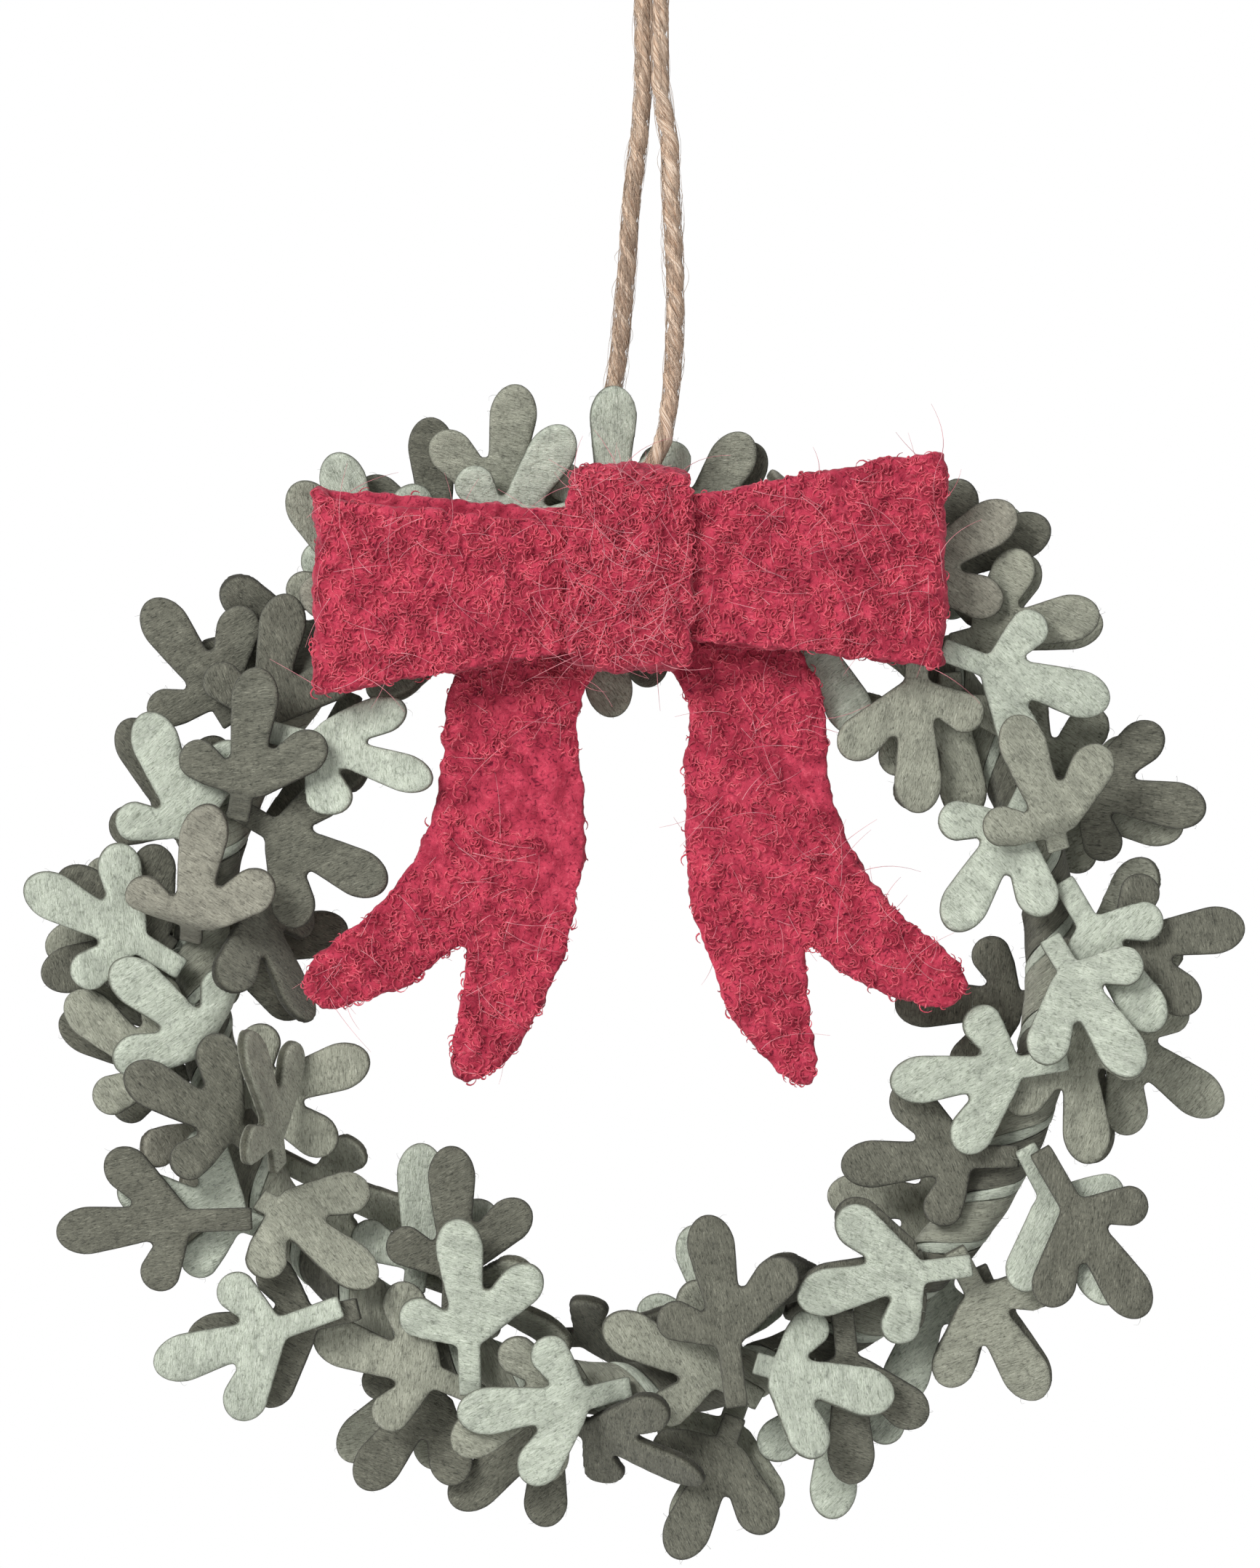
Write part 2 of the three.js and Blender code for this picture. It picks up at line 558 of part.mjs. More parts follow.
// The cord's knot: its wraps lie on each other as rings
function cordKnot() {
  const profile = [[0, -cordKnotHeight / 2], [cordKnotFlat / 2, -cordKnotHeight / 2]];
  const wrap = cordKnotHeight / cordKnotWraps;
  for (let turn = 0; turn < cordKnotWraps; turn++) {
    const low = -cordKnotHeight / 2 + turn * wrap;
    if (turn > 0) profile.push([cordKnotDiameter / 2 - cordKnotGroove, low]);
    for (const share of cordWrapShares) profile.push([cordKnotDiameter / 2, low + wrap * share]);
  }
  profile.push([cordKnotFlat / 2, cordKnotHeight / 2], [0, cordKnotHeight / 2]);
  const points = profile.map(([x, y]) => new THREE.Vector2(x, y));
  return new THREE.LatheGeometry(points, cordKnotSides).rotateX(Math.PI / 2);
}

// The glue bead is pressed round the front of the rope
function glueBead() {
  const depth = bowStandoff - 2 * clearance;
  const bead = new THREE.BoxGeometry(glueWidth, depth, glueHeight);
  bead.translate(bowX - glueAside, -depth / 2, hoopRadius - glueDrop);
  const seat = new THREE.TorusGeometry(hoopRadius, ropeRadius + clearance, glueSeatSides, glueSeatSteps);
  seat.rotateX(Math.PI / 2);
  const overrun = 2 * cutOverrun;
  const back = new THREE.BoxGeometry(glueWidth + overrun, ropeRadius + clearance, glueHeight + overrun);
  back.translate(bowX - glueAside, -(ropeRadius + clearance) / 2 + glueGrip, hoopRadius - glueDrop);
  return geometryOf(solidOf(bead).subtract(solidOf(seat)).subtract(solidOf(back)));
}

const group = new THREE.Group();
const wreath = new THREE.Group();
wreath.position.set(-hangAside, 0, -hangDrop);
group.add(wreath);

wreath.add(named("hoop_wire", hoopWire(), steel));
wreath.add(named("rope_strip_sage", ropeStrip(outerStripSection(1)), felt.sage));
wreath.add(named("rope_strip_mint", ropeStrip(middleStripSection()), felt.mint));
wreath.add(named("rope_strip_olive", ropeStrip(outerStripSection(-1)), felt.olive));

layOut(sprigs).forEach((sprig, index) => {
  const number = String(index + 1).padStart(2, "0");
  wreath.add(sprigMesh(sprig, `sprig_${number}_${sprig.shade}`));
});

const knotDepth = 4 * boiledWool + 2 * clearance + plyGap;
const bow = new THREE.Group();
bow.position.set(bowX, -bowStandoff, hoopRadius - bowDrop);
wreath.add(bow);
const band = named("bow_knot_band", knotBand(knotDepth), wool);
band.position.y = -boiledWool - clearance - knotDepth / 2;
bow.add(band);
for (const side of [-1, 1]) {
  const tail = named(side < 0 ? "bow_tail_left" : "bow_tail_right", bowTail(side), wool);
  tail.position.set(side > 0 ? rightTailAside : 0, -boiledWool / 2, 0);
  bow.add(tail);
}
for (const [name, size] of Object.entries(loops)) {
  const loop = named(`bow_loop_${name}`, bowLoop(size, name === "left" ? -1 : 1), wool);
  loop.position.y = band.position.y;
  bow.add(loop);
}

wreath.add(named("cord_legs", cord(cordRoute, cordLegSteps), jute));
group.add(named("cord_eye", cord(eyeRoute, cordEyeSteps), jute));
const knot = named("cord_knot", cordKnot(), jute);
knot.position.z = cordKnotLevel;
group.add(knot);
wreath.add(named("bow_glue", glueBead(), hotGlue));

export default group;
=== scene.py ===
"""Looks of a felt mistletoe wreath for a christmas tree, with a boiled wool bow and a jute cord.

Lengths are in metres and angles in degrees. X is to the right, Y away from the viewer and Z up, and the
origin is where the hook bears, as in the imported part. Each large felt sprig, each strip of the rope and each
piece of the bow and the cord takes the place of its own plain solid. Small sprigs, felt fibres, wool curls
and twine hairs are pieces of their own among and on them.
"""

from __future__ import annotations

import json
import logging
import math
from collections.abc import Callable, Sequence
from dataclasses import dataclass, field
from enum import Enum
from functools import partial

import bmesh
import bpy
import numpy as np
from mathutils import Matrix, Vector
from mathutils.bvhtree import BVHTree

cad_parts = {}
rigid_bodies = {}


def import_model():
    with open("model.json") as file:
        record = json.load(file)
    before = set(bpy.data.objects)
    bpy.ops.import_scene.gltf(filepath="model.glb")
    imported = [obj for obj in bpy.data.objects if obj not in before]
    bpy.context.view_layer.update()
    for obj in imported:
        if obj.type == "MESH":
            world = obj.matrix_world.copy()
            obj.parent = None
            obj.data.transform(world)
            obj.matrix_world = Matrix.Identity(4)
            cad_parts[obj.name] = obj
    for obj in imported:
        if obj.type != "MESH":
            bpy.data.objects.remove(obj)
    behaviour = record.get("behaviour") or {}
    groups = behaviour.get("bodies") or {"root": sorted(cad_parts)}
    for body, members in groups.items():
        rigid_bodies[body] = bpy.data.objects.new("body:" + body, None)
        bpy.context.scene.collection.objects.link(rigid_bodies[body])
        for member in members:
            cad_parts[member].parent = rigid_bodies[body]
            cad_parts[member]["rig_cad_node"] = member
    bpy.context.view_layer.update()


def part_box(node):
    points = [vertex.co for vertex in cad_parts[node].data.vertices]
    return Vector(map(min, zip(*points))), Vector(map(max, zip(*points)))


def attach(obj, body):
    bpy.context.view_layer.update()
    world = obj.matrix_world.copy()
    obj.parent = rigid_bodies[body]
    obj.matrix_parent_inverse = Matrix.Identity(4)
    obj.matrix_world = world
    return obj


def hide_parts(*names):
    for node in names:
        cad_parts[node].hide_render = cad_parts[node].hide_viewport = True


LOG = logging.getLogger("ornament")
MM = 0.001
SEED = 12
WREATH = "wreath"
HANGER = "root"
LAY = "lay"
# The mark of the felt's cut side, where its painted shade goes.
RIM_SHADE = "rim"
WELD = 0.002 * MM
FIBRE_LAY = 3
Colour = tuple[int, int, int]
WHITE: Colour = (255, 255, 255)
Socket = bpy.types.NodeSocket
Random = np.random.Generator
Mesh = bpy.types.Mesh
Waves = list[tuple[float, float]]


# Colour and shading


def linear(rgb: Sequence[int]) -> tuple[float, float, float, float]:
    """Turns a colour as it shows on a screen, 0 to 255, into the shader's own."""
    shares = [value / 255 for value in rgb]
    parts = [s / 12.92 if s <= 0.04045 else ((s + 0.055) / 1.055) ** 2.4 for s in shares]
    return (parts[0], parts[1], parts[2], 1.0)


class Shader:
    """A material whose nodes are added one after another."""

    def __init__(self, name: str) -> None:
        """Starts a material with its plain surface node."""
        self.material = bpy.data.materials.new(name)
        self.material.use_nodes = True
        self.nodes = self.material.node_tree.nodes
        self.surface = self.nodes["Principled BSDF"]

    def join(self, source: Socket, target: Socket) -> None:
        """Links one socket to another."""
        self.material.node_tree.links.new(source, target)

    def set(self, **values: float) -> None:
        """Sets the surface's plain values; an underscore stands for a space in a socket's name."""
        for name, value in values.items():
            self.surface.inputs[name.replace("_", " ")].default_value = value

    def along_fibres(self, length: float, width: float) -> Socket:
        """The piece's own lay in units of one streak, so that a pattern runs along its fibres."""
        lay = self.nodes.new("ShaderNodeAttribute")
        lay.attribute_name = LAY
        return self.stretched(lay.outputs["Vector"], (1 / length, 1 / width, 1 / width))

    def attribute(self, name: str) -> Socket:
        """A value that the mesh keeps at its points."""
        store = self.nodes.new("ShaderNodeAttribute")
        store.attribute_name = name
        return store.outputs["Fac"]

    def in_space(self, grain: float) -> Socket:
        """Object coordinates in units of one grain."""
        place = self.nodes.new("ShaderNodeTexCoord")
        return self.stretched(place.outputs["Object"], (1 / grain,) * 3)

    def stretched(self, source: Socket, scale: Sequence[float]) -> Socket:
        """Scales coordinates with a Mapping node."""
        mapping = self.nodes.new("ShaderNodeMapping")
        mapping.inputs["Scale"].default_value = scale
        self.join(source, mapping.inputs["Vector"])
        return mapping.outputs["Vector"]

    def noise(self, place: Socket, detail: float = 3, distortion: float = 0) -> Socket:
        """Noise from 0 to 1 over coordinates in units of one grain, in finer layers and swirled."""
        noise = self.nodes.new("ShaderNodeTexNoise")
        settings = {"Scale": 1, "Detail": detail, "Roughness": 0.6, "Distortion": distortion}
        for name, value in settings.items():
            noise.inputs[name].default_value = value
        self.join(place, noise.inputs["Vector"])
        return noise.outputs["Fac"]

    def ramp(self, share: Socket, stops: Sequence[float], *colours: Colour) -> Socket:
        """Runs through colours, each at its stop, as a share grows from 0 to 1."""
        ramp = self.nodes.new("ShaderNodeValToRGB")
        elements = ramp.color_ramp.elements
        while len(elements) < len(stops):
            elements.new(0.5)
        for element, stop, colour in zip(elements, stops, colours):
            element.position = stop
            element.color = linear(colour)
        self.join(share, ramp.inputs["Fac"])
        return ramp.outputs["Color"]

    def blend(self, below: Socket, above: Socket, kind: str = "MULTIPLY", amount: float = 1) -> Socket:
        """Lays one colour over another.

        Args:
            below: The colour underneath.
            above: The colour on top.
            kind: The blend, such as MULTIPLY.
            amount: How strongly.

        Returns:
            The mixed colour.
        """
        mix = self.nodes.new("ShaderNodeMix")
        mix.data_type = "RGBA"
        mix.blend_type = kind
        mix.inputs["Factor"].default_value = amount
        self.join(below, mix.inputs["A"])
        self.join(above, mix.inputs["B"])
        return mix.outputs["Result"]

    def relief(self, height: Socket, strength: float, depth: float) -> None:
        """Shades the surface as if it rose with a height from 0 to 1, by so much and so deep."""
        bump = self.nodes.new("ShaderNodeBump")
        bump.inputs["Strength"].default_value = strength
        bump.inputs["Distance"].default_value = depth
        self.join(height, bump.inputs["Height"])
        self.join(bump.outputs["Normal"], self.surface.inputs["Normal"])

    def colour(self, source: Socket) -> None:
        """Gives the surface its colour."""
        self.join(source, self.surface.inputs["Base Color"])


@dataclass(frozen=True)
class Felt:
    """Stiff craft felt: pressed fibres in one direction, darker ones among them, and painted shade on its cut
    side.
    """

    name: str
    slot: str
    base: Colour
    light: Colour
    fleck: Colour
    streak_length: float = 0.75 * MM
    streak_width: float = 0.14 * MM
    mottle: float = 3.5 * MM
    pit: float = 0.6 * MM
    shaded: Colour = (218, 218, 218)
    worn: Colour = (210, 210, 210)
    # cut is painted shade: it darkens the felt's whole cut side.
    cut: Colour = (150, 148, 142)
    streak_stops: tuple[float, ...] = (0.34, 0.46, 0.54, 0.66)
    mottle_stops: tuple[float, float] = (0.3, 0.7)
    pit_stops: tuple[float, float] = (0.32, 0.46)
    rim_stops: tuple[float, float] = (0.1, 0.9)
    relief: float = 0.4 * MM

    def material(self) -> bpy.types.Material:
        """Builds the felt's material."""
        shader = Shader(self.name)
        streaks = shader.noise(shader.along_fibres(self.streak_length, self.streak_width), 4, 0.9)
        mottle = shader.noise(shader.along_fibres(self.mottle, self.mottle / 2), detail=2)
        pits = shader.noise(shader.in_space(self.pit), 5, 0.6)
        colour = shader.ramp(streaks, self.streak_stops, self.fleck, self.base, self.base, self.light)
        tints = [
            shader.ramp(mottle, self.mottle_stops, self.shaded, WHITE),
            shader.ramp(pits, self.pit_stops, self.worn, WHITE),
            # Painted shade on the cut side, where the rim mark is high.
            shader.ramp(shader.attribute(RIM_SHADE), self.rim_stops, WHITE, self.cut),
        ]
        for tint in tints:
            colour = shader.blend(colour, tint)
        shader.colour(colour)
        shader.relief(shader.blend(streaks, pits, "MIX", 0.5), 1, self.relief)
        shader.set(Roughness=1, Sheen_Weight=0.12, Sheen_Roughness=0.5, Specular_IOR_Level=0.1)
        return shader.material


@dataclass(frozen=True)
class BoiledWool:
    """Felted loopy wool: small curls in every direction, with painted shade in the pits between them and a
    painted highlight on their tops.
    """

    name: str
    # dark is partly painted shade in the pits and light partly a painted highlight on the curls; mid is the
    # wool's own red.
    dark: Colour
    mid: Colour
    light: Colour
    slot: str = "boiled_wool_red"
    curl: float = 0.7 * MM
    patch: float = 2.4 * MM
    shaded: Colour = (208, 190, 198)
    curl_stops: tuple[float, ...] = (0.34, 0.46, 0.56, 0.68)
    patch_stops: tuple[float, float] = (0.36, 0.6)
    relief: float = 0.3 * MM

    def material(self) -> bpy.types.Material:
        """Builds the wool's material."""
        shader = Shader(self.name)
        curls = shader.noise(shader.in_space(self.curl), detail=4, distortion=1.4)
        patches = shader.noise(shader.in_space(self.patch), detail=2)
        # The curl noise also raises the relief: the ramp paints its low pits dark as shade and its high tops
        # light as a highlight.
        colour = shader.ramp(curls, self.curl_stops, self.dark, self.mid, self.mid, self.light)
        shader.colour(shader.blend(colour, shader.ramp(patches, self.patch_stops, self.shaded, WHITE)))
        shader.relief(curls, 0.8, self.relief)
        shader.set(Roughness=1, Sheen_Weight=0.15, Sheen_Roughness=0.4, Specular_IOR_Level=0.1)
        return shader.material


class Pile(Enum):
    """The wool's three depths: the cloth, the curls on it and the pale stray hairs."""

    # The cloth's dark colour is partly painted shade in the pits between the curls, and each light colour
    # partly a painted highlight.
    CLOTH = BoiledWool("boiled_wool", (122, 34, 54), (194, 66, 88), (218, 94, 112))
    CURLS = BoiledWool("wool_curls", (196, 66, 86), (222, 92, 110), (244, 130, 142))
    HAIRS = BoiledWool("wool_hairs", (228, 124, 136), (238, 158, 166), (246, 190, 194))


@dataclass(frozen=True)
class Jute:
    """Jute twine: long pale and brown fibres that run along each ply, the palest streaks partly a painted
    highlight.
    """

    name: str = "jute_twine"
    slot: str = "jute"
    dark: Colour = (164, 130, 106)
    mid: Colour = (222, 194, 168)
    # light is partly the pale fibres' colour and partly a painted highlight on the raised streaks.
    light: Colour = (242, 222, 202)
    streak_length: float = 3 * MM
    streak_width: float = 0.15 * MM
    streak_stops: tuple[float, ...] = (0.36, 0.5, 0.62)
    relief: float = 0.25 * MM

    def material(self) -> bpy.types.Material:
        """Builds the twine's material."""
        shader = Shader(self.name)
        streaks = shader.noise(shader.along_fibres(self.streak_length, self.streak_width), detail=3)
        shader.colour(shader.ramp(streaks, self.streak_stops, self.dark, self.mid, self.light))
        shader.relief(streaks, 1, self.relief)
        shader.set(Roughness=0.85, Sheen_Weight=0.1, Specular_IOR_Level=0.2)
        return shader.material


@dataclass(frozen=True)
class Clouded:
    """A smooth finish with faint clouds in it: where its two colours lie, and its surface's plain values."""

    name: str
    slot: str
    dark: Colour
    light: Colour
    grain: float
    surface: dict[str, float]
    stops: tuple[float, float] = (0.35, 0.65)

    def material(self) -> bpy.types.Material:
        """Builds the finish's material."""
        shader = Shader(self.name)
        cloud = shader.noise(shader.in_space(self.grain), detail=2)
        shader.colour(shader.ramp(cloud, self.stops, self.dark, self.light))
        shader.set(**self.surface)
        return shader.material


MILKY = {"Roughness": 0.35, "Subsurface_Weight": 0.1}
BRIGHT = {"Metallic": 1, "Roughness": 0.4}
MATT = {"Roughness": 0.9}
GLUE = Clouded("hot_glue", "hot_glue", (200, 192, 172), (222, 216, 200), 2 * MM, MILKY)
STEEL = Clouded("steel_wire", "steel_wire", (128, 130, 134), (168, 170, 174), 0.3 * MM, BRIGHT)
PAPER = Clouded("floor_paper", "paper", (240, 240, 240), (246, 246, 246), 4 * MM, MATT, (0.3, 0.7))


class Shade(Enum):
    """The felt's three colours, and a browner one that is like the middle one."""

    MINT = Felt("felt_mint", "felt_mint", (210, 218, 201), (233, 239, 224), (160, 168, 150))
    SAGE = Felt("felt_sage", "felt_sage", (171, 173, 156), (198, 199, 182), (119, 120, 107))
    OLIVE = Felt("felt_olive", "felt_olive", (122, 122, 109), (148, 148, 133), (77, 78, 70))
    TAN = Felt("felt_tan", "felt_sage", (164, 162, 147), (188, 186, 170), (116, 114, 103))

    @classmethod
    def of_node(cls, name: str) -> Shade:
        """The shade that a sprig's name ends in."""
        return cls[name.rsplit("_", 1)[1].upper()]


# Meshes


def coordinates(mesh: Mesh) -> np.ndarray:
    """A mesh's points, one row each."""
    found = np.empty(len(mesh.vertices) * 3)
    mesh.vertices.foreach_get("co", found)
    return found.reshape(-1, 3)


def reshape(mesh: Mesh, points: np.ndarray) -> None:
    """Moves a mesh's points."""
    mesh.vertices.foreach_set("co", points.astype(np.float32).ravel())
    mesh.update()


def lay_fibres(mesh: Mesh, lay: np.ndarray) -> None:
    """Stores at each point where it is along and across the piece's fibres."""
    store = mesh.attributes.get(LAY) or mesh.attributes.new(LAY, "FLOAT_VECTOR", "POINT")
    store.data.foreach_set("vector", lay.astype(np.float32).ravel())


def transformed(points: np.ndarray, place: Matrix) -> np.ndarray:
    """Points put in place by a matrix."""
    turn = np.array(place.to_3x3())
    return points @ turn.T + np.array(place.translation)


def smoothstep(share: np.ndarray) -> np.ndarray:
    """Rises smoothly from 0 to 1."""
    clipped = np.clip(share, 0, 1)
    return clipped * clipped * (3 - 2 * clipped)


def baked(data: bpy.types.ID, modifiers: Sequence[dict[str, object]] = ()) -> Mesh:
    """Makes a plain mesh of a curve or mesh with modifiers.

    Args:
        data: The curve or the mesh.
        modifiers: Each modifier's type and its settings.

    Returns:
        The finished mesh.
    """
    maker = bpy.data.objects.new("maker", data)
    bpy.context.scene.collection.objects.link(maker)
    for settings in modifiers:
        modifier = maker.modifiers.new(str(settings["type"]), str(settings["type"]))
        for name, value in settings.items():
            if name != "type":
                setattr(modifier, name, value)
    graph = bpy.context.evaluated_depsgraph_get()
    mesh = bpy.data.meshes.new_from_object(maker.evaluated_get(graph))
    bpy.data.objects.remove(maker)
    return mesh


def finished(form: bmesh.types.BMesh, name: str) -> Mesh:
    """Turns a shape that is being made into a mesh."""
    mesh = bpy.data.meshes.new(name)
    form.to_mesh(mesh)
    form.free()
    return mesh


def faced_outwards(meshes: Sequence[Mesh], name: str) -> Mesh:
    """Joins closed meshes into one whose faces all look outwards."""
    form = bmesh.new()
    for mesh in meshes:
        form.from_mesh(mesh)
    bmesh.ops.recalc_face_normals(form, faces=form.faces)
    return finished(form, name)


def merged_copy(node: str) -> Mesh:
    """A copy of a plain solid's mesh with its loose triangles joined."""
    form = bmesh.new()
    form.from_mesh(bpy.data.objects[node].data)
    bmesh.ops.remove_doubles(form, verts=form.verts, dist=WELD)
    return finished(form, node + "_copy")


def rod(length: float, sides: int, steps: int) -> Mesh:
    """A straight round rod of radius 1 from the origin along X, with so many sides and so many steps."""
    form = bmesh.new()
    bmesh.ops.create_cone(form, cap_ends=True, segments=sides, radius1=1, radius2=1, depth=length)
    upright = [e for e in form.edges if abs(e.verts[0].co.z - e.verts[1].co.z) > length / 2]
    bmesh.ops.subdivide_edges(form, edges=upright, cuts=steps - 1)
    bmesh.ops.translate(form, verts=form.verts, vec=(0, 0, length / 2))
    bmesh.ops.rotate(form, verts=form.verts, cent=(0, 0, 0), matrix=Matrix.Rotation(math.pi / 2, 3, "Y"))
    return finished(form, "rod")


def add_piece(
    name: str,
    mesh: Mesh,
    finish: bpy.types.Material,
    slot: str,
    body: str = WREATH,
    replaces: Sequence[str] = (),
) -> bpy.types.Object:
    """Adds a finished piece to the scene.

    Args:
        name: The piece's name.
        mesh: Its mesh, in its place.
        finish: Its material.
        slot: The record's slot for its finish; not used.
        body: The body that it moves with.
        replaces: The plain solids that it stands for.

    Returns:
        The piece.
    """
    mesh.name = name
    mesh.materials.clear()
    mesh.materials.append(finish)
    mesh.shade_smooth()
    piece = bpy.data.objects.new(name, mesh)
    bpy.context.scene.collection.objects.link(piece)
    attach(piece, body)
    if replaces:
        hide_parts(*replaces)
    LOG.info("%s: %d faces", name, len(mesh.polygons))
    return piece


@dataclass
class Surface:
    """Random places on a mesh, each with the way that the surface faces there."""

    places: np.ndarray
    normals: np.ndarray

    @classmethod
    def of(cls, mesh: Mesh, count: int, rng: Random, keep: Callable | None = None) -> Surface:
        """Picks places on a mesh.

        Args:
            mesh: The mesh.
            count: How many places.
            rng: The random numbers to use.
            keep: Says of all faces' middles and normals how likely each is picked.

        Returns:
            The places.
        """
        faces = len(mesh.polygons)
        middles, normals, areas = np.empty(faces * 3), np.empty(faces * 3), np.empty(faces)
        mesh.polygons.foreach_get("center", middles)
        mesh.polygons.foreach_get("normal", normals)
        mesh.polygons.foreach_get("area", areas)
        middles, normals = middles.reshape(-1, 3), normals.reshape(-1, 3)
        if keep is not None:
            areas = areas * keep(middles, normals)
        picks = rng.choice(faces, count, p=areas / areas.sum())
        return cls(middles[picks], normals[picks])

    def tangents(self, rng: Random) -> np.ndarray:
        """A random direction along the surface at each place."""
        wild = rng.normal(size=self.places.shape)
        flat = wild - (wild * self.normals).sum(1, keepdims=True) * self.normals
        return flat / np.linalg.norm(flat, axis=1, keepdims=True)


@dataclass(frozen=True)
class Hairs:
    """Fine hairs that leave a surface: how long, how thick, how steep and how bent."""

    length: tuple[float, float]
    radius: float
    rise: float
    bend: float
    steps: int = 3
    sink: float = 0.1 * MM
    rise_shares: tuple[float, float] = (0.1, 1)
    arch_share: float = 0.75

    def paths(self, surface: Surface, rng: Random) -> np.ndarray:
        """Works out where the hairs run.

        Args:
            surface: The places that they leave from.
            rng: The random numbers to use.

        Returns:
            The hairs' points: hair, step, place.
        """
        count = len(surface.places)
        along = surface.tangents(rng)
        aside = np.cross(surface.normals, along)
        length = rng.uniform(*self.length, size=(count, 1))
        lift = rng.uniform(*self.rise_shares, size=(count, 1)) * self.rise
        bend = rng.uniform(-1, 1, size=(count, 1)) * self.bend
        rows = []
        for share in np.linspace(0, 1, self.steps + 1):
            out = lift * math.sin(math.pi * share * self.arch_share)
            way = along * share + surface.normals * out + aside * bend * share * share
            rows.append(surface.places - surface.normals * self.sink + way * length)
        return np.stack(rows, axis=1)

    def mesh(self, surface: Surface, rng: Random) -> Mesh:
        """Makes the hairs that leave a surface's places."""
        return fibre_mesh(self.paths(surface, rng), self.radius)


@dataclass(frozen=True)
class Curls:
    """Small curls of wool that lie on a surface."""

    radius: tuple[float, float]
    thickness: float
    height: float
    turn: float
    steps: int = 5
    turn_shares: tuple[float, float] = (0.5, 1)
    inner_share: float = 0.6
    tilt_share: float = 0.35

    def paths(self, surface: Surface, rng: Random) -> np.ndarray:
        """Works out where the curls run.

        Args:
            surface: The places that they lie on.
            rng: The random numbers to use.

        Returns:
            The curls' points.
        """
        count = len(surface.places)
        along = surface.tangents(rng)
        aside = np.cross(surface.normals, along)
        size = rng.uniform(*self.radius, size=(count, 1))
        turn = rng.uniform(*self.turn_shares, size=(count, 1)) * self.turn
        tilt = rng.uniform(-1, 1, size=(count, 1))
        rows = []
        for share in np.linspace(0, 1, self.steps + 1):
            angle = turn * share
            grown = size * (self.inner_share + (1 - self.inner_share) * share)
            rise = tilt * grown * self.tilt_share * np.sin(angle)
            out = self.height * math.sin(math.pi * share) + rise
            flat = along * np.cos(angle) + aside * np.sin(angle)
            rows.append(surface.places + flat * grown + surface.normals * out)
        return np.stack(rows, axis=1)


def fibre_mesh(paths: np.ndarray, radius: float, tip_share: float = 0.35) -> Mesh:
    """Makes one mesh of thin fibres.

    Args:
        paths: The fibres' points: fibre, step, place.
        radius: Their radius at the root.
        tip_share: Their radius at the tip, as a share of that.

    Returns:
        The mesh, with its lay stretched so that each fibre looks plain.
    """
    curve = bpy.data.curves.new("fibres", "CURVE")
    curve.dimensions = "3D"
    curve.fill_mode = "FULL"
    curve.bevel_depth = radius
    curve.bevel_resolution = 0
    curve.use_fill_caps = True
    steps = paths.shape[1]
    taper = np.linspace(1, tip_share, steps)
    places = np.concatenate([paths, np.ones(paths.shape[:2] + (1,))], axis=2)
    for row in places:
        spline = curve.splines.new("POLY")
        spline.points.add(steps - 1)
        spline.points.foreach_set("co", row.ravel())
        spline.points.foreach_set("radius", taper)
    mesh = baked(curve)
    lay_fibres(mesh, coordinates(mesh) * FIBRE_LAY)
    return mesh


# The rope


@dataclass(frozen=True)
class Hoop:
    """The wreath's ring: its middle line, and the rope's size round it."""

    centre: Vector = field(default_factory=lambda: Vector((-3.0, 0, -137.1)) * MM)
    radius: float = 52 * MM
    rope: float = 3.3 * MM

    def place(self, clock: float, out: float = 0, back: float = 0) -> Vector:
        """A point beside the ring's middle line: so far round from the right, outwards and back."""
        angle = math.radians(clock)
        reach = self.radius + out
        return self.centre + Vector((reach * math.cos(angle), back, reach * math.sin(angle)))


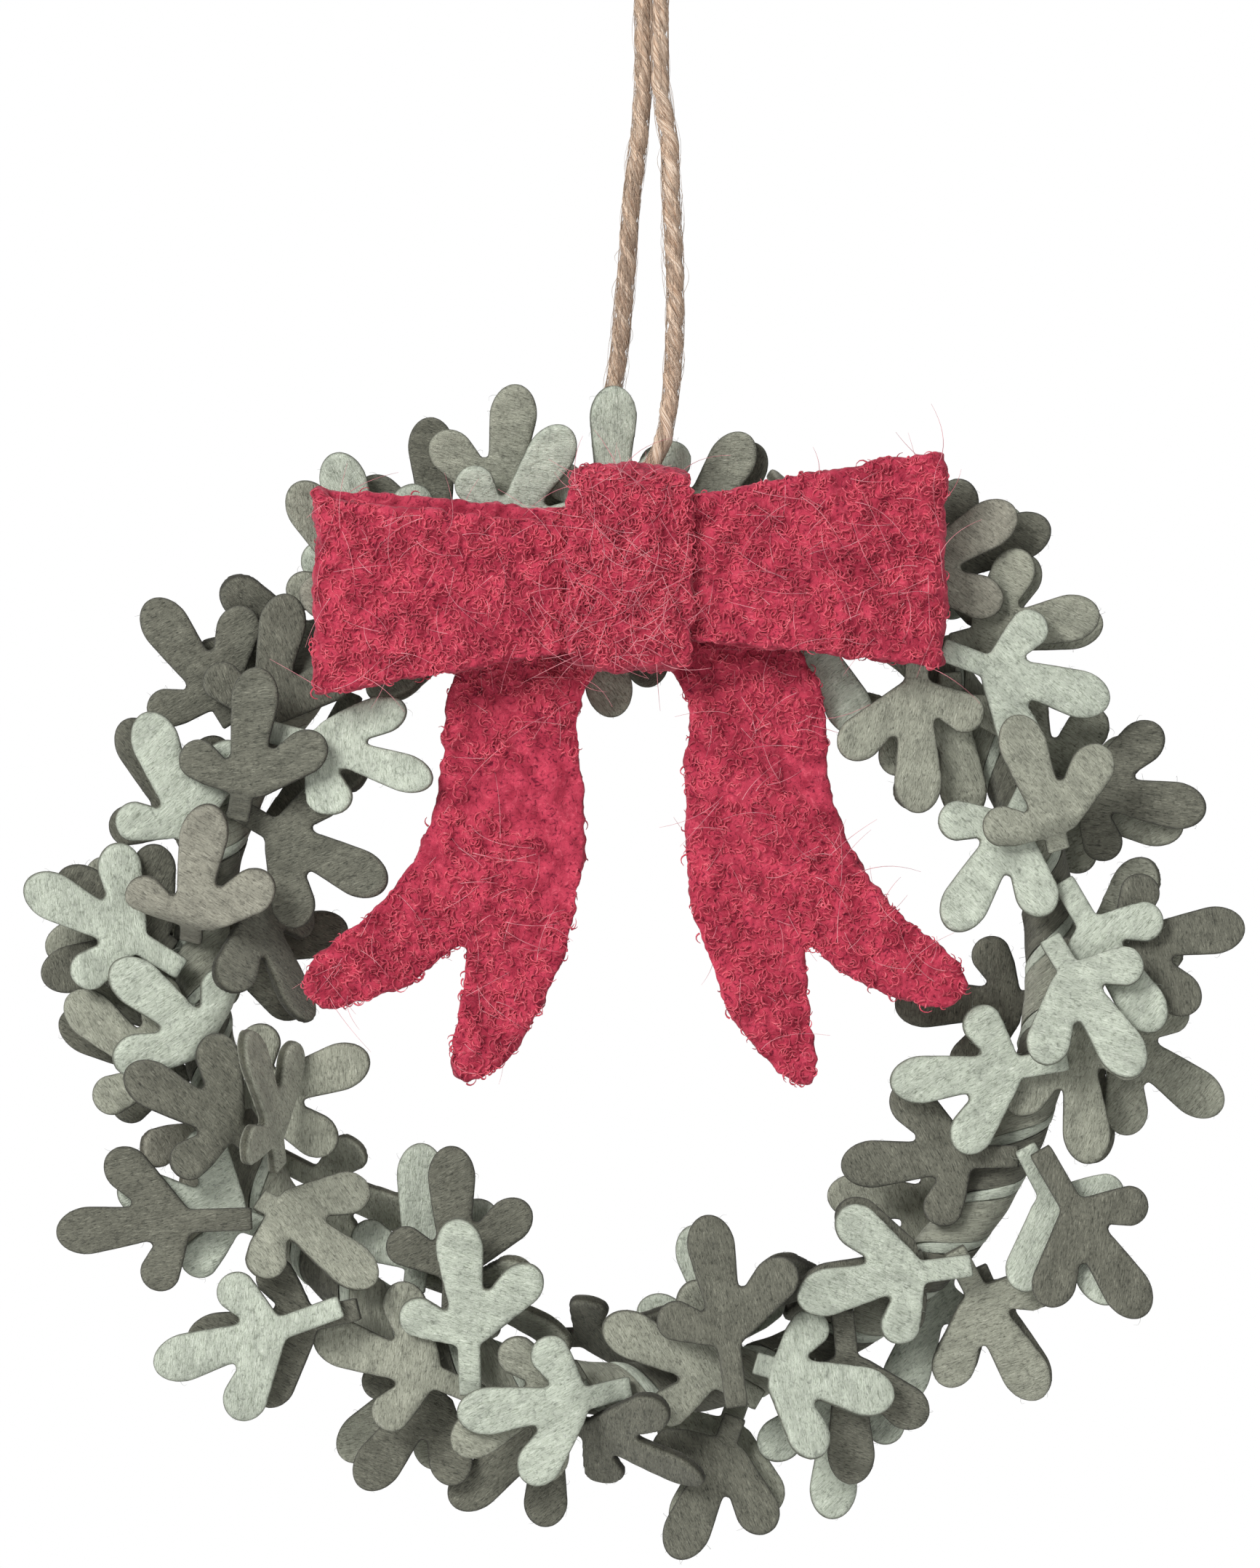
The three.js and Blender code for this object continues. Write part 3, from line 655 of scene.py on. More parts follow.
@dataclass
class Rope:
    """Three felt strips, face to face, twisted round the hoop's wire."""

    hoop: Hoop
    felts: dict[Shade, bpy.types.Material]
    middle: float = 2 * MM
    space: float = 0.1 * MM
    turns: int = 20
    joint_clock: float = 98
    joint_gap: float = 0.6 * MM
    steps: int = 560
    sides: int = 28
    ripple: float = 0.13 * MM
    ripple_waves: tuple[int, ...] = (31, 47, 83)
    fibres: int = 1500
    hairs: Hairs = Hairs((0.4 * MM, 1.3 * MM), 0.022 * MM, 0.8, 0.6)

    def outer_section(self, side: int, out: np.ndarray, back: np.ndarray) -> tuple[np.ndarray, np.ndarray]:
        """Presses a round section to a flat face inwards."""
        face = self.middle / 2 + self.space
        half = math.sqrt(self.hoop.rope**2 - face**2)
        level = side * back
        flat = level < face
        out = np.where(flat, out * half / self.hoop.rope, np.clip(out, -half, half))
        return out, side * np.where(flat, face, level)

    def middle_section(self, out: np.ndarray, back: np.ndarray) -> tuple[np.ndarray, np.ndarray]:
        """Presses a round section flat on both sides."""
        return out, np.clip(back, -self.middle / 2, self.middle / 2)

    def strip(self, section: Callable, rng: Random) -> Mesh:
        """Twists a strip and bends it round the hoop.

        Args:
            section: Presses the strip's round section into shape.
            rng: The random numbers to use.

        Returns:
            The strip's mesh.
        """
        radius = self.hoop.radius
        sweep = 2 * math.pi - self.joint_gap / radius
        mesh = rod(sweep * radius, self.sides, self.steps)
        points = coordinates(mesh)
        along = points[:, 0]
        out, back = section(points[:, 1] * self.hoop.rope, points[:, 2] * self.hoop.rope)
        lay_fibres(mesh, np.column_stack([along, out, back]) + rng.uniform(0, 1, 3))
        around = np.arctan2(back, out)
        swell = np.ones(len(points))
        for wave in self.ripple_waves:
            phase = rng.uniform(0, 2 * math.pi)
            swell += self.ripple / self.hoop.rope / 2 * np.sin(wave * along / radius + phase + around)
        twist = 2 * math.pi * self.turns * along / (sweep * radius)
        reach = (out * np.cos(twist) - back * np.sin(twist)) * swell + radius
        depth = (out * np.sin(twist) + back * np.cos(twist)) * swell
        clock = math.radians(self.joint_clock) + self.joint_gap / 2 / radius + along / radius
        placed = np.column_stack([reach * np.cos(clock), depth, reach * np.sin(clock)])
        reshape(mesh, placed + np.array(self.hoop.centre))
        return faced_outwards([mesh], "strip")

    def build(self, rng: Random) -> None:
        """Adds the three strips and the fibres on them."""
        sections = {
            Shade.SAGE: partial(self.outer_section, 1),
            Shade.MINT: self.middle_section,
            Shade.OLIVE: partial(self.outer_section, -1),
        }
        for shade, section in sections.items():
            mesh = self.strip(section, rng)
            tone = shade.name.lower()
            finish = (self.felts[shade], shade.value.slot)
            surface = Surface.of(mesh, self.fibres, rng)
            add_piece(f"rope_{tone}", mesh, *finish, replaces=[f"rope_strip_{tone}"])
            add_piece(f"rope_fibres_{tone}", self.hairs.mesh(surface, rng), *finish)


# The sprigs


@dataclass(frozen=True)
class Lobe:
    """One leaf of a sprig: its length, its width, where it aims, and how far out it parts from the next."""

    length: float
    width: float
    aim: float
    crotch: float = 0


class CutLine:
    """A closed line in the plane of the felt, of straight and round stretches."""

    quarter_share = 0.5523
    bend_share = 2 / 3

    def __init__(self, start: Vector) -> None:
        """Starts the line at a corner."""
        self.knots = [[start, start, start]]

    def _reach(self, to: Vector, handle: Vector, share: float) -> None:
        """Goes on to a point, bent towards a handle by a share."""
        last = self.knots[-1]
        last[2] = last[0].lerp(handle, share)
        self.knots.append([to, to.lerp(handle, share), to])

    def straight(self, to: Vector) -> None:
        """Goes on straight."""
        self._reach(to, self.knots[-1][0].lerp(to, 0.5), 0.5)

    def bent(self, handle: Vector, to: Vector) -> None:
        """Goes on in one bend that starts and ends towards a handle."""
        self._reach(to, handle, self.bend_share)

    def quarter(self, corner: Vector, to: Vector) -> None:
        """Goes on in a quarter of an ellipse round a corner."""
        self._reach(to, corner, self.quarter_share)

    def curve(self) -> bpy.types.Curve:
        """The line as a flat curve."""
        curve = bpy.data.curves.new("cut_line", "CURVE")
        curve.dimensions = "2D"
        spline = curve.splines.new("BEZIER")
        spline.bezier_points.add(len(self.knots) - 1)
        spline.use_cyclic_u = True
        for point, (place, before, after) in zip(spline.bezier_points, self.knots):
            point.co = place.to_3d()
            point.handle_left = before.to_3d()
            point.handle_right = after.to_3d()
        return curve


@dataclass(frozen=True)
class Die:
    """The die that cuts every sprig: a stem that forks into three lobes."""

    thickness: float = 1.5 * MM
    stem: float = 8.5 * MM
    stem_width: float = 2.8 * MM
    flare: float = 0.9 * MM
    widest_share: float = 0.74
    handle_shares: tuple[float, float] = (0.56, 0.82)
    round_edge: float = 0.1 * MM
    rim_reach: float = 0.3 * MM
    grain: float = 0.42 * MM
    throat: float = 2 * MM
    nothing: float = 1e-9
    lobes: tuple[Lobe, ...] = (
        Lobe(12.1 * MM, 5.4 * MM, -46, 5.2 * MM),
        Lobe(15.2 * MM, 5.8 * MM, 3.5, 3.5 * MM),
        Lobe(9.0 * MM, 4.9 * MM, 65),
    )

    @property
    def reach(self) -> float:
        """How far the middle lobe's end lies past the fork."""
        return self.lobes[1].length * math.cos(math.radians(self.lobes[1].aim))

    def cut(self) -> Mesh:
        """Cuts one sprig of thick felt, from its foot at the origin along X."""
        half = self.stem_width / 2
        root = self.stem - self.flare
        line = CutLine(Vector((0, -half)))
        line.straight(Vector((root, -half)))
        fork = Vector((self.stem, 0))
        for index, lobe in enumerate(self.lobes):
            turn = Matrix.Rotation(math.radians(lobe.aim), 2)
            widest = lobe.length * self.widest_share
            side = lobe.width / 2

            def at(along: float, across: float) -> Vector:
                return fork + turn @ Vector((along, across))

            handle_along, handle_across = self.handle_shares
            line.bent(at(widest * handle_along, -side * handle_across), at(widest, -side))
            line.quarter(at(lobe.length, -side), at(lobe.length, 0))
            line.quarter(at(lobe.length, side), at(widest, side))
            if index + 1 < len(self.lobes):
                crotch = math.radians((lobe.aim + self.lobes[index + 1].aim) / 2)
                end = fork + lobe.crotch * Vector((math.cos(crotch), math.sin(crotch)))
            else:
                end = Vector((root, half))
            line.bent(at(widest * handle_along, side * handle_across), end)
        line.straight(Vector((0, half)))
        curve = line.curve()
        curve.fill_mode = "BOTH"
        curve.extrude = self.thickness / 2 - self.round_edge
        curve.bevel_depth = self.round_edge
        curve.offset = -self.round_edge
        return baked(curve)

    def blank(self) -> Mesh:
        """The cut sprig in an even grain, so that it bends softly, with its cut side marked for the felt's
        painted shade.
        """
        mesh = baked(
            self.cut(),
            [
                {"type": "REMESH", "mode": "VOXEL", "voxel_size": self.grain},
                {"type": "SMOOTH", "factor": 0.5, "iterations": 1},
            ],
        )
        depth = self.thickness / 2 - np.abs(coordinates(mesh)[:, 2])
        # The rim mark tells the felt where to paint shade on its cut side.
        rim = mesh.attributes.new(RIM_SHADE, "FLOAT", "POINT")
        inner = smoothstep((depth - self.round_edge) / self.rim_reach)
        rim.data.foreach_set("value", inner.astype(np.float32))
        return mesh

    def fitted(self, points: np.ndarray, placing: Placing, curl: Waves) -> np.ndarray:
        """Fits a sprig as it comes from the die to its place.

        Args:
            points: The cut sprig's points.
            placing: Where it lies.
            curl: For no wave across the lobes, one, two and so on, how high it is and where it starts.

        Returns:
            The points in their places.
        """
        past = points[:, 0] - self.stem
        x = np.where(past < 0, points[:, 0] * placing.stem / self.stem - placing.stem, past)
        y = points[:, 1]
        aim = np.arctan2(y, np.maximum(past, 0) + self.nothing)
        narrow = aim * (placing.spread - 1) * np.clip(past / self.lobes[0].crotch, 0, 1)
        along = placing.stem + x * np.cos(narrow) - y * np.sin(narrow)
        across = x * np.sin(narrow) + y * np.cos(narrow)
        far = np.clip(np.hypot(past, y) / self.lobes[1].length, 0, 1) ** 2 * (past > 0)
        lift = placing.climb * smoothstep(along / (placing.stem + self.throat))
        for wave, (height, start) in enumerate(curl):
            lift = lift + far * height * np.sin(wave * aim + start)
        return transformed(np.column_stack([along, across, points[:, 2] + lift]), placing.place)


def aimed(foot: Vector, heading: float, raised: float, roll: float) -> Matrix:
    """The frame of a sprig at its foot.

    Args:
        foot: Where its foot is.
        heading: Where it points, seen from the front, anticlockwise from the right.
        raised: How far its tip is swung within its own plane.
        roll: How far it is rolled about its stem from facing the viewer.

    Returns:
        The frame: along the stem, across it and through the felt.
    """
    turns = ((-heading, "Y"), (-raised, "Z"), (roll + 90, "X"))
    frame = Matrix.Translation(foot)
    for angle, axis in turns:
        frame = frame @ Matrix.Rotation(math.radians(angle), 4, axis)
    return frame


@dataclass(frozen=True)
class Placing:
    """Where a sprig lies: its foot's frame, its stem's length, and how its lobes are lifted and spread."""

    place: Matrix
    stem: float
    climb: float = 0
    spread: float = 1

    @classmethod
    def of_node(cls, node: str, die: Die, spread: float) -> Placing:
        """Finds a sprig's frame from the two triangles that close its plain solid's foot.

        Args:
            node: The plain solid's name.
            die: The die that cut it.
            spread: How widely its lobes are spread, as a share.

        Returns:
            Its placing.
        """
        mesh = bpy.data.objects[node].data
        points = coordinates(mesh)
        mesh.calc_loop_triangles()
        corners = np.empty(len(mesh.loop_triangles) * 3, dtype=int)
        mesh.loop_triangles.foreach_get("vertices", corners)
        faces = points[corners.reshape(-1, 3)]
        sides = np.roll(faces, -1, axis=1) - faces
        lengths = np.linalg.norm(sides, axis=2)
        diagonal = math.hypot(die.thickness, die.stem_width)
        wanted = np.array([die.thickness, die.stem_width, diagonal])
        miss = np.abs(np.sort(lengths, axis=1) - wanted).max(axis=1)
        ends = np.argsort(miss)[:2]
        foot = (faces[ends].max(axis=(0, 1)) + faces[ends].min(axis=(0, 1))) / 2
        order = np.argsort(lengths[ends[0]])
        through = sides[ends[0]][order[0]] / lengths[ends[0]][order[0]]
        across = sides[ends[0]][order[1]] / lengths[ends[0]][order[1]]
        along = np.cross(across, through)
        if (points.mean(axis=0) - foot) @ along < 0:
            along = -along
        local = points - foot
        near, far = np.argmax(local @ across), np.argmin(local @ across)
        if local[near] @ along > local[far] @ along:
            across = -across
        through = np.cross(along, across)
        stem = (local @ along).max() - die.reach
        beyond = local[local @ along > stem + die.lobes[0].crotch]
        climb = float((beyond @ through).mean())
        place = Matrix(np.column_stack([along, across, through]).tolist()).to_4x4()
        place.translation = Vector(foot)
        return cls(place, float(stem), climb, spread)


@dataclass(frozen=True)
class Added:
    """A sprig among the larger ones, laid by where its foot is and where it points."""

    shade: Shade
    clock: float
    across: float
    heading: float
    behind: bool = False
    stem: float = 1
    over: bool = False
    raised: float = 0
    roll: float = 0

    def placing(self, hoop: Hoop, die: Die, depth: float) -> Placing:
        """Works out the sprig's frame.

        Args:
            hoop: The ring that it lies on.
            die: The die that cut it.
            depth: How far behind the hoop's middle its foot is.

        Returns:
            Its placing.
        """
        foot = hoop.place(self.clock, self.across * hoop.rope, depth)
        roll = self.roll + (180 if self.over else 0)
        return Placing(aimed(foot, self.heading, self.raised, roll), die.stem * self.stem)


MINT, SAGE, OLIVE, TAN = Shade.MINT, Shade.SAGE, Shade.OLIVE, Shade.TAN
ADDED = (
    Added(OLIVE, 181, 0, 140),
    Added(OLIVE, 214, 0.8, 182),
    Added(MINT, 230, 0.5, 200, over=True),
    Added(OLIVE, 336, 0.8, 300),
    Added(OLIVE, 2, -0.1, 5),
    Added(MINT, 56, 0, 340),
    Added(SAGE, 50, 0.9, 268),
    Added(OLIVE, 322, 0.1, 185),
    Added(SAGE, 166, 1, 5),
    Added(OLIVE, 284, 0.9, 97),
    Added(MINT, 287, 1, 82),
    Added(OLIVE, 245, -0.5, 88),
    Added(TAN, 58.5, -0.3, 28),
    Added(OLIVE, 85, -1.3, 50, stem=0.6, behind=True),
    Added(OLIVE, 117, -1.3, 108, behind=True),
    Added(MINT, 322.5, 0.2, 246, behind=True),
    Added(MINT, 195, -1, 63, roll=62, stem=0.5, raised=30),
    Added(SAGE, 210, -1, 95, roll=62, stem=0.5, raised=30),
    Added(OLIVE, 87.5, 0, 268, stem=0.35, behind=True),
)


class Clutter:
    """What is laid already, so that one more sprig finds room."""

    def __init__(self) -> None:
        """Starts with every plain solid of the part."""
        self.lows: list[np.ndarray] = []
        self.highs: list[np.ndarray] = []
        self.trees: list[BVHTree] = []
        for piece in bpy.data.objects:
            if "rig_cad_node" in piece:
                points = coordinates(piece.data)
                faces = [tuple(face.vertices) for face in piece.data.polygons]
                self.keep(points, BVHTree.FromPolygons(points.tolist(), faces))

    def keep(self, points: np.ndarray, tree: BVHTree) -> None:
        """Keeps a piece's tree and its box."""
        self.lows.append(points.min(axis=0))
        self.highs.append(points.max(axis=0))
        self.trees.append(tree)

    def takes(self, points: np.ndarray, faces: list[tuple[int, ...]]) -> bool:
        """Lays a sprig if it touches nothing.

        Args:
            points: The sprig's points.
            faces: The sprig's faces.

        Returns:
            Whether there was room.
        """
        tree = BVHTree.FromPolygons(points.tolist(), faces)
        starts = (np.array(self.lows) < points.max(axis=0)).all(axis=1)
        ends = (np.array(self.highs) > points.min(axis=0)).all(axis=1)
        if any(self.trees[index].overlap(tree) for index in np.flatnonzero(starts & ends)):
            return False
        self.keep(points, tree)
        return True


@dataclass
class Row:
    """A sprig that is laid: its name, its shade, where it lies, how it curls and what it stands for."""

    name: str
    shade: Shade
    placing: Placing
    curl: Waves
    replaces: Sequence[str] = ()


@dataclass
class Sprigs:
    """All the sprigs and the fibres on them.

    The large ones stand for plain solids. Of the small ones, those in ADDED are listed one by one, twins lie
    behind pale ones, covers lie over feet, and loose ones lie all round the rope.
    """

    hoop: Hoop
    felts: dict[Shade, bpy.types.Material]
    die: Die = Die()
    narrowed: dict[str, float] = field(default_factory=lambda: {"sprig_39_mint": 0.8})
    curl: float = 0.5 * MM
    loose_curl: float = 2 * MM
    waves: int = 4
    fibres: int = 60
    added_gap: float = 1.1 * MM
    added_step: float = 0.4 * MM
    added_levels: int = 14
    twin_aside: float = 2.6 * MM
    twin_turn: float = 14
    twin_step: float = 0.45 * MM
    twin_levels: range = range(4, 18)
    twin_tries: int = 4
    twin_dark_share: float = 0.75
    seat_steps: int = 12
    seat_gap_share: float = 0.6
    cover_clocks: range = range(125, 415, 5)
    cover_turn: float = 50
    cover_raised: float = 14
    cover_roll: float = 30
    cover_stem_shares: tuple[float, float] = (0.2, 0.6)
    cover_past: tuple[float, float] = (0, 8 * MM)
    cover_gap: tuple[float, float] = (0.9 * MM, 5 * MM)
    cover_climb: tuple[float, float] = (1.6 * MM, 5.5 * MM)
    cover_aside_share: float = 1.6
    loose_turn: float = 60
    loose_sections: tuple[float, float] = (-250, 70)
    loose_gap_shares: tuple[float, float] = (0.6, 3)
    loose_raised: tuple[float, float] = (-25, 12)
    loose_roll: float = 16
    loose_stem_shares: tuple[float, float] = (0.4, 0.9)
    loose: int = 120
    tries: int = 170
    inner_reach: float = 37 * MM
    outer_reach: float = 69 * MM
    cord_space: tuple[float, float] = (13 * MM, 43 * MM)
    twin_reach: float = 76 * MM
    front_reach: float = -13.5 * MM
    back_reach: float = 9 * MM
    mixture: tuple[Shade, ...] = (OLIVE, OLIVE, OLIVE, SAGE, SAGE, MINT, TAN)
    front_mixture: tuple[Shade, ...] = (MINT, MINT, SAGE, SAGE, SAGE, TAN, OLIVE, OLIVE)
    hairs: Hairs = Hairs((0.3 * MM, 1.1 * MM), 0.02 * MM, 0.9, 0.6)

    def curled(self, height: float, rng: Random) -> Waves:
        """Draws how a sprig curls, by up to a height."""
        return [(rng.uniform(-1, 1) * height, rng.uniform(0, math.pi)) for _ in range(self.waves)]

    def shaped(self, blank: Mesh, row: Row, rng: Random) -> Mesh:
        """Fits the blank, as it comes from the die, to one sprig's place."""
        mesh = blank.copy()
        points = coordinates(mesh)
        turn = np.array(Matrix.Rotation(rng.uniform(0, math.pi), 3, "Z"))
        lay_fibres(mesh, points @ turn + rng.uniform(-1, 1, 3))
        reshape(mesh, self.die.fitted(points, row.placing, row.curl))
        return mesh

    def seated(self, placing: Placing) -> Placing | None:
        """Shortens a sprig's stem so that its foot stands on the rope and not in it.

        Args:
            placing: Where the sprig lies with its whole stem.

        Returns:
            Its new placing, or nothing if too little of the stem is left.
        """
        along = placing.place.col[0].to_3d()
        keep = self.hoop.rope + self.die.thickness * self.seat_gap_share
        for step in range(self.seat_steps):
            shift = placing.stem * step / self.seat_steps
            foot = placing.place.translation + along * shift - self.hoop.centre
            off = math.hypot(math.hypot(foot.x, foot.z) - self.hoop.radius, foot.y)
            if off >= keep:
                place = placing.place.copy()
                place.translation = placing.place.translation + along * shift
                return Placing(place, placing.stem - shift, placing.climb, placing.spread)
        return None

    def twins(self, rows: list[Row], rng: Random) -> list[tuple[Shade, list[Placing]]]:
        """Darker sprigs that lie behind pale ones, a little to one side.

        Args:
            rows: The sprigs that stand for plain solids.
            rng: The random numbers to use.

        Returns:
            Each twin's shade and the places to try.
        """
        found = []
        for row in rows:
            if row.shade is OLIVE:
                continue
            back = Vector((0, 1, 0)) if row.placing.place.translation.y < 0 else Vector((0, -1, 0))
            places = []
            for _ in range(self.twin_tries):
                turn = Matrix.Rotation(math.radians(rng.uniform(-1, 1) * self.twin_turn), 4, "Z")
                aside = Matrix.Translation(Vector(rng.uniform(-1, 1, 3)) * self.twin_aside)
                for level in self.twin_levels:
                    shift = Matrix.Translation(back * level * self.twin_step)
                    seat = self.seated(Placing(shift @ row.placing.place @ aside @ turn, row.placing.stem))
                    if seat:
                        places.append(seat)
            found.append((OLIVE if rng.random() < self.twin_dark_share else SAGE, places))
        return found

    def covers(self, rows: list[Row], rng: Random) -> list[tuple[Shade, list[Placing]]]:
        """Sprigs in front whose lobes hide the feet of others, as scales do.

        Args:
            rows: The sprigs that stand for plain solids.
            rng: The random numbers to use.

        Returns:
            Each sprig's shade and the places to try.
        """
        found = []
        feet = [row.placing.place.translation for row in rows]
        feet += [self.hoop.place(clock, 0, -self.hoop.rope) for clock in self.cover_clocks]
        for hidden in (foot for foot in feet if foot.y < 0):
            across = hidden - self.hoop.centre
            clock = math.degrees(math.atan2(across.z, across.x))
            places = []
            for _ in range(self.tries):
                heading = clock + rng.choice([-90, 90]) + rng.uniform(-1, 1) * self.cover_turn
                stem = self.die.stem * rng.uniform(*self.cover_stem_shares)
                reach = stem + rng.uniform(*self.cover_past)
                way = Vector((math.cos(math.radians(heading)), 0, math.sin(math.radians(heading))))
                foot = hidden - way * reach
                off = foot - self.hoop.centre
                aside = math.hypot(off.x, off.z) - self.hoop.radius
                if abs(aside) > self.cover_aside_share * self.hoop.rope:
                    continue
                level = math.sqrt(max(0, self.hoop.rope**2 - aside**2))
                foot.y = -level - rng.uniform(*self.cover_gap)
                top = min(foot.y, hidden.y - rng.uniform(*self.cover_climb))
                flip = rng.random() < 0.5
                raised = -rng.uniform(-1, 1) * self.cover_raised
                roll = rng.uniform(-1, 1) * self.cover_roll + (180 if flip else 0)
                climb = (foot.y - top) * (-1 if flip else 1)
                places.append(Placing(aimed(foot, heading, raised, roll), stem, climb))
            places.sort(key=lambda placing: -placing.place.translation.y)
            found.append((self.filler(self.front_mixture, rng), places))
        return found

    def filler(self, mixture: Sequence[Shade], rng: Random) -> Shade:
        """Picks a shade from a mixture."""
        return mixture[rng.integers(len(mixture))]

    def scattered(self, rng: Random) -> list[tuple[Shade, list[Placing]]]:
        """Sprigs that lie on the rope all round it, their stems along it.

        Args:
            rng: The random numbers to use.

        Returns:
            Each sprig's shade and the places to try.
        """
        found = []
        for index in range(self.loose):
            places = []
            for _ in range(self.tries):
                clock = 360 * (index + rng.uniform(-1, 2)) / self.loose
                heading = clock + rng.choice([-90, 90]) + rng.uniform(-1, 1) * self.loose_turn
                section = rng.uniform(*self.loose_sections)
                off = self.hoop.rope + self.die.thickness * rng.uniform(*self.loose_gap_shares)
                around = math.radians(section)
                foot = self.hoop.place(clock, off * math.cos(around), off * math.sin(around))
                tangent = 1 if math.sin(math.radians(heading - clock)) > 0 else -1
                roll = (section + 90) * tangent + rng.uniform(-1, 1) * self.loose_roll
                raised = -rng.uniform(*self.loose_raised)
                roll += rng.choice([0, 180])
                stem = self.die.stem * rng.uniform(*self.loose_stem_shares)
                places.append(Placing(aimed(foot, heading, raised, roll), stem))
            found.append((self.filler(self.mixture, rng), places))
        return found

    def inside(self, points: np.ndarray, outer: float) -> bool:
        """Whether a sprig stays within the wreath's body, as far out as it may go, and clear of the cord."""
        off = points - np.array(self.hoop.centre)
        reach = np.hypot(off[:, 0], off[:, 2])
        beside, below = self.cord_space
        return (
            not ((np.abs(off[:, 0]) < beside) & (off[:, 2] > below)).any()
            and reach.min() > self.inner_reach
            and reach.max() < outer
            and points[:, 1].min() > self.front_reach
            and points[:, 1].max() < self.back_reach
        )

    def build(self, rng: Random) -> None:
        """Adds the sprigs that stand for plain solids, those among them, and the fibres on all of them."""
        blank, cut = self.die.blank(), self.die.cut()
        corners = coordinates(cut)
        faces = [tuple(face.vertices) for face in cut.polygons]
        clutter = Clutter()
        rows: list[Row] = []
        for node in sorted(n for n in bpy.data.objects.keys() if n.startswith("sprig_")):
            placing = Placing.of_node(node, self.die, self.narrowed.get(node, 1))
            curl = self.curled(self.curl, rng)
            rows.append(Row(node + "_felt", Shade.of_node(node), placing, curl, [node]))
        wanted = []
        for added in ADDED:
            side = 1 if added.behind else -1
            nearest = self.hoop.rope + self.added_gap
            depths = [side * (nearest + self.added_step * level) for level in range(self.added_levels)]
            wanted.append((added.shade, [added.placing(self.hoop, self.die, depth) for depth in depths], 0))
        wanted += [(shade, places, self.twin_reach) for shade, places in self.twins(rows, rng)]
        wanted += [(shade, places, self.outer_reach) for shade, places in self.covers(rows, rng)]
        wanted += [(shade, places, self.outer_reach) for shade, places in self.scattered(rng)]
        for index, (shade, places, outer) in enumerate(wanted):
            curl = self.curled(self.loose_curl, rng)
            for placing in places:
                points = self.die.fitted(corners, placing, curl)
                if (outer == 0 or self.inside(points, outer)) and clutter.takes(points, faces):
                    name = f"small_sprig_{index + 1:03d}_{shade.name.lower()}"
                    rows.append(Row(name, shade, placing, curl))
                    break
        fibres: dict[Shade, list[np.ndarray]] = {shade: [] for shade in Shade}
        for row in rows:
            mesh = self.shaped(blank, row, rng)
            fibres[row.shade].append(self.hairs.paths(Surface.of(mesh, self.fibres, rng), rng))
            add_piece(row.name, mesh, self.felts[row.shade], row.shade.value.slot, replaces=row.replaces)
        for shade, paths in fibres.items():
            fuzz = fibre_mesh(np.concatenate(paths), self.hairs.radius)
            add_piece(f"leaf_fibres_{shade.name.lower()}", fuzz, self.felts[shade], shade.value.slot)
        LOG.info("%d sprigs in all, %d tried", len(rows), len(wanted))


# The bow


